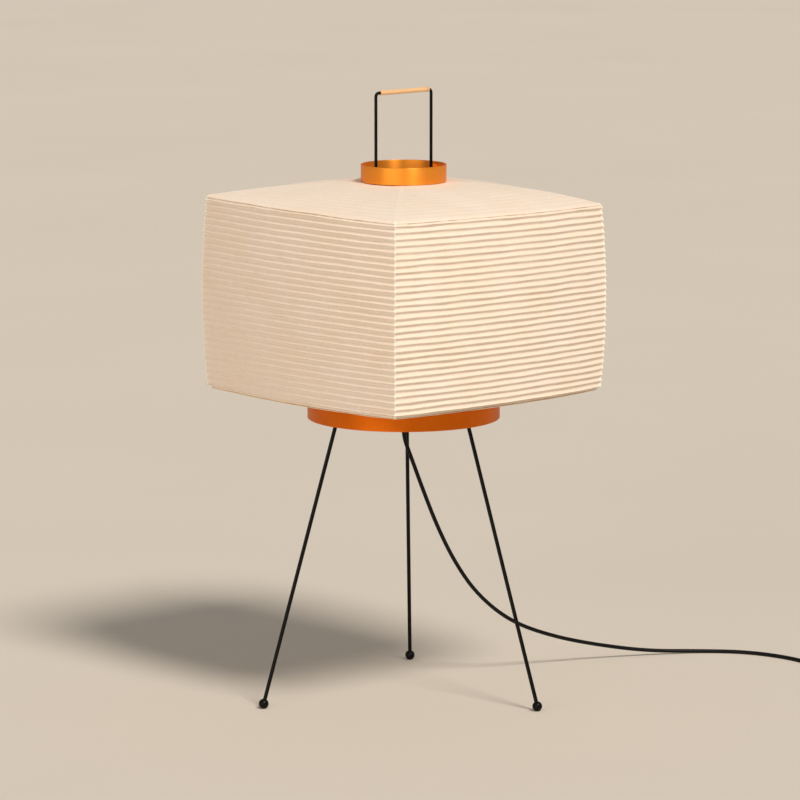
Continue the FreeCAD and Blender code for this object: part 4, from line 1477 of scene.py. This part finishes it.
@dataclass
class MainsCord:
    """The free cord, its switch, its tied coil and its plug."""

    diameter: float = 5.2
    lamp_route: tuple[Point3, ...] = (
        (0, 0, 350.5), (0, 0, 338), (3, 9, 314), (4.5, 29, 268), (4.5, 55, 215), (3.5, 88, 162),
        (5, 128, 113), (9, 186, 69), (18, 258, 40), (32, 331, 20), (56, 400, 6), (90, 461, 2.6),
        (138, 504, 2.6), (199, 520, 2.6), (258, 514, 2.6), (308, 502, 4.5), (332, 500, 8), (352, 500, 8),
    )
    coil_lead: tuple[Point3, ...] = ((412, 500, 8), (432, 500, 8), (463, 500, 3.1), (494.8, 500, 3.1))
    plug_lead: tuple[Point3, ...] = (
        (494.8, 428.2, 8.9), (482, 428.2, 8.9), (463, 428.2, 6.85), (450, 428.2, 6.85))
    coil_start: Point2 = (500.0, 500.0)
    coil_radii: tuple[float, ...] = (33.0, 30.1, 27.2, 24.3, 27.2, 30.1, 33.0)
    coil_levels: tuple[float, float] = (3.1, 8.9)
    half_turn_points: int = 8
    switch_centre: Point2 = (382.0, 500.0)
    switch_size: Point2 = (60.0, 25.0)
    switch_corner: float = 6.0
    switch_joint: tuple[float, float] = (7.9, 8.1)
    switch_height: float = 16.0
    lower_soft: float = 0.8
    upper_soft: float = 1.8
    well_size: Point2 = (19.4, 10.4)
    well_floor: float = 5.5
    well_corner: float = 1.2
    band_inset: float = 0.5
    band_lap: float = 0.3
    pivot_height: float = 12.6
    rocker_profile: tuple[Point2, ...] = (
        (-9, 1.2), (-4.5, -3.4), (4.5, -3.4), (9, 1.2), (9, 5.6), (0, 3.4), (-9, 5.6))
    rocker_side: float = 4.5
    rocker_tilt: float = 8.0
    rocker_soft: float = 0.5
    rocker_sharp: float = 25.0
    plug_heel: Point2 = (426.0, 428.2)
    plug_side: tuple[Point2, ...] = ((0, 8.5), (-21, 17.65), (-35, 17.65))
    plug_height: float = 13.7
    plug_soft: float = 2.6
    plug_axis: float = 6.85
    boot_length: float = 24.0
    boot_ribs: int = 7
    boot_start: float = 1.0
    boot_pitch: float = 3.2
    boot_thin: float = 3.5
    boot_swell: float = 2.0
    boot_rib: tuple[Point2, ...] = ((0, 0), (0.1, 1.9), (-0.7, 2.0), (-0.65, 3.1))
    boot_mouth: float = 3.3
    boot_front: float = 5.5
    boot_rim: float = 0.4

    def curve(self, name: str, route: Sequence[Point3]) -> Object:
        """A cord as one smooth spline whose control points are its route.

        Args:
            name: the cord's name.
            route: its points in millimetres.

        Returns:
            The curve object.
        """
        data = bpy.data.curves.new(name, "CURVE")
        data.dimensions = "3D"
        spline = data.splines.new("NURBS")
        spline.points.add(len(route) - 1)
        for point, place in zip(spline.points, route):
            point.co = (*[c * MM for c in place], 1.0)
        spline.order_u = 3
        spline.use_endpoint_u = True
        spline.resolution_u = 12
        data.bevel_depth = self.diameter / 2 * MM
        data.bevel_resolution = 5
        data.use_fill_caps = True
        return linked(name, data)

    def coil_points(self) -> list[Point3]:
        """The control points of the coil's half turns, in on the floor layer, up, and out again.

        Returns:
            Points in millimetres.
        """
        low, high = self.coil_levels
        x, y = self.coil_start
        swell = 2 / (1 + math.cos(math.pi / self.half_turn_points / 2))
        points: list[Point3] = []
        climbing = len(self.coil_radii) // 2
        for k, radius in enumerate(self.coil_radii):
            down = -1 if k % 2 == 0 else 1
            centre, reach = y + down * radius, radius * swell
            for step in range(self.half_turn_points):
                done = (step + 0.5) / self.half_turn_points
                turn, level = math.pi * done, low + (high - low) * min(max(k - climbing + done, 0), 1)
                along, aside = reach * math.sin(turn), reach * math.cos(turn)
                points.append((x - down * along, centre - down * aside, level))
            y = centre + down * radius
        return points

    def case_plate(self, name: str, inset: float, low: float, high: float) -> Object:
        """A plate with the switch's outline.

        Args:
            name: the plate's name.
            inset: how far its edge lies inside the outline.
            low: height of its underside.
            high: height of its top.

        Returns:
            The plate.
        """
        length, width = [size - 2 * inset for size in self.switch_size]
        plan = rounded_plan(length, width, self.switch_corner - inset, self.switch_centre)
        return plan_plate(name, plan, low, high)

    def with_well(self, plate: Object) -> Object:
        """A plate with the rocker's opening cut into it."""
        plan = rounded_plan(*self.well_size, self.well_corner, self.switch_centre, steps=4)
        return carved(plate, plan_plate("well", plan, self.well_floor, 2 * self.switch_height))

    def rocker(self) -> Object:
        """The rocker, tipped to one side, with its two raised ends.

        Returns:
            The rocker.
        """
        tilt = Matrix.Rotation(math.radians(self.rocker_tilt), 4, "Y")
        place = Matrix.Translation(Vector((*self.switch_centre, self.pivot_height))) @ tilt
        sides = [[place @ Vector((along, side, height)) for along, height in self.rocker_profile]
                 for side in (-self.rocker_side, self.rocker_side)]
        rocker = skinned("switch_rocker_key", sides)
        soften_edges(rocker, self.rocker_soft, segments=3, sharp=self.rocker_sharp)
        return rocker

    def switch(self) -> list[Object]:
        """The rocker switch that the cord passes through.

        Returns:
            Its pieces.
        """
        (low, high), lap = self.switch_joint, self.band_lap
        lower = self.case_plate("switch_case_lower", 0, 0, low)
        soften_edges(lower, self.lower_soft, segments=3)
        upper = self.case_plate("switch_case_upper", 0, high, self.switch_height)
        soften_edges(upper, self.upper_soft, segments=4)
        upper = self.with_well(upper)
        band = self.with_well(self.case_plate("switch_case_joint", self.band_inset, low - lap, high + lap))
        return [
            place_piece(lower, Body.BASE, ABS, "switch_lower_case"),
            place_piece(upper, Body.BASE, ABS, "switch_upper_case"),
            place_piece(band, Body.BASE, ABS),
            place_piece(self.rocker(), Body.ROCKER, GLOSSY_ABS, "switch_rocker"),
            *place_copies(Body.BASE, ZINC, ("rocker_axle", "rocker_steel_axle", 0.0),
                          ("switch_screws", "switch_case_screws", 0.2)),
        ]

    def plug(self) -> list[Object]:
        """The flat two-pin plug with its boot.

        Returns:
            Its pieces.
        """
        x, y = self.plug_heel
        plan = [(x + along, y + half) for along, half in self.plug_side]
        plan += [(x + along, y - half) for along, half in reversed(self.plug_side)]
        body = plan_plate("moulded_plug_body", plan, 0, self.plug_height)
        soften_edges(body, self.plug_soft, segments=5)
        length, outline = self.boot_length, [(0.0, 0.0), (self.boot_mouth, 0.0)]
        for low in (self.boot_start + self.boot_pitch * k for k in range(self.boot_ribs)):
            swell = self.boot_thin + self.boot_swell * low / length
            outline += [(swell + out, low + up) for out, up in self.boot_rib]
        outline += [(self.boot_front, length - self.boot_rim), (self.boot_front, length), (0, length)]
        boot = turned("ribbed_plug_boot", outline, Way.BACK_X.at((x + length, y, self.plug_axis)), facets=40)
        return [
            place_piece(body, Body.BASE, SHEATH, "plug_body"),
            place_piece(boot, Body.BASE, SHEATH, "plug_boot"),
            *place_copies(Body.BASE, NICKEL, ("plug_pins", "contact_pins", 0.0)),
            *place_copies(Body.BASE, SHEATH, ("pin_sleeves", "pin_insulating_sleeves", 0.0)),
        ]

    def make(self) -> list[Object]:
        """Build the cord and what is on it.

        Returns:
            The pieces.
        """
        lamp_cord = place_piece(self.curve("lamp_lead", self.lamp_route), Body.BASE, SHEATH, "cord_lamp")
        route = [*self.coil_lead, *self.coil_points(), *self.plug_lead]
        coil_cord = place_piece(
            self.curve("coiled_lead", route), Body.BASE, SHEATH, "cord_to_coil", "cord_coil", "cord_to_plug")
        switch = self.switch()
        plug = self.plug()
        tie = place_copies(Body.BASE, NYLON, ("coil_tie", "coil_nylon_tie", 0.1))
        return [lamp_cord, coil_cord, *tie, *switch, *plug]


@dataclass
class Studio:
    """The camera, the pale floor and the soft lights."""

    camera_place: Point3 = (4.273, -3.929, 1.304)
    camera_azimuth: float = 137.4
    camera_pitch: float = -8.98
    lens: float = 204.5
    shift: float = -0.0047
    floor_reach: float = 60.0
    low_light: str = "E6DFD5"
    high_light: str = "FFFFFF"
    world_strength: float = 0.27

    def camera(self) -> None:
        """Make the camera at the viewing angle of the picture."""
        data = bpy.data.cameras.new("viewpoint")
        data.lens = self.lens
        data.sensor_width = 36
        data.shift_x = self.shift
        data.clip_end = 100
        camera = linked("viewpoint", data)
        camera.location = self.camera_place
        way = aimed(self.camera_azimuth, self.camera_pitch)
        camera.rotation_euler = way.to_track_quat("-Z", "Y").to_euler()
        bpy.context.scene.camera = camera

    def floor(self) -> None:
        """Make the pale floor."""
        reach = self.floor_reach
        mesh = bpy.data.meshes.new("studio_floor")
        corners = [(-reach, -reach, 0), (reach, -reach, 0), (reach, reach, 0), (-reach, reach, 0)]
        mesh.from_pydata(corners, [], [(0, 1, 2, 3)])
        mesh.materials.append(FLOOR.material())
        linked("studio_floor", mesh)

    def lamp(
        self, name: str, azimuth: float, elevation: float, strength: float, spread: float, colour: str
    ) -> None:
        """Make one soft distant lamp.

        Args:
            name: its name.
            azimuth: degrees from +X of where the light comes from.
            elevation: degrees above the floor.
            strength: light on a surface that faces it.
            spread: the angle that the lamp seems to fill, in degrees.
            colour: sRGB hex colour.
        """
        data = bpy.data.lights.new(name, "SUN")
        data.energy = strength
        data.angle = math.radians(spread)
        data.color = linear(colour)[:3]
        linked(name, data).rotation_euler = aimed(azimuth, elevation).to_track_quat("Z", "Y").to_euler()

    def world(self) -> None:
        """Make the even surrounding light, a little brighter overhead."""
        world = bpy.data.worlds.new("studio_light")
        bpy.context.scene.world = world
        world.use_nodes = True
        tree = world.node_tree
        tree.nodes.clear()
        add = partial(add_node, tree)
        way = add("ShaderNodeTexCoord", out="Generated")
        rise = add("ShaderNodeSeparateXYZ", way, out="Z")
        share = add("ShaderNodeMapRange", rise, -0.1, 0.9, 0.0, 1.0)
        tint = add("ShaderNodeMix", share, linear(self.low_light), linear(self.high_light), data_type="RGBA")
        add("ShaderNodeOutputWorld", add("ShaderNodeBackground", tint, self.world_strength))

    def make(self) -> None:
        """Set up the whole studio."""
        self.camera()
        self.floor()
        self.lamp("key_light", azimuth=-10, elevation=51, strength=2.42, spread=16, colour="FFF5EA")
        self.lamp("fill_light", azimuth=-74, elevation=8, strength=1.32, spread=50, colour="FFF0E2")
        self.world()
        bpy.context.scene.view_settings.view_transform = "Standard"


def main() -> None:
    """Build the lamp and its studio, and report every piece."""
    logging.basicConfig(level=logging.INFO, format="%(name)s: %(message)s")
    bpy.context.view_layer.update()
    Studio().make()
    for kind in (MainsCord, PaperShade, ShadeRings, CarryingHandle, LegStand, Lampholder, Bulb):
        for piece in kind().make():
            LOG.info("%s: %s is in place", kind.__name__, piece.name)
    bpy.context.view_layer.update()


if __name__ == "__main__":
    main()
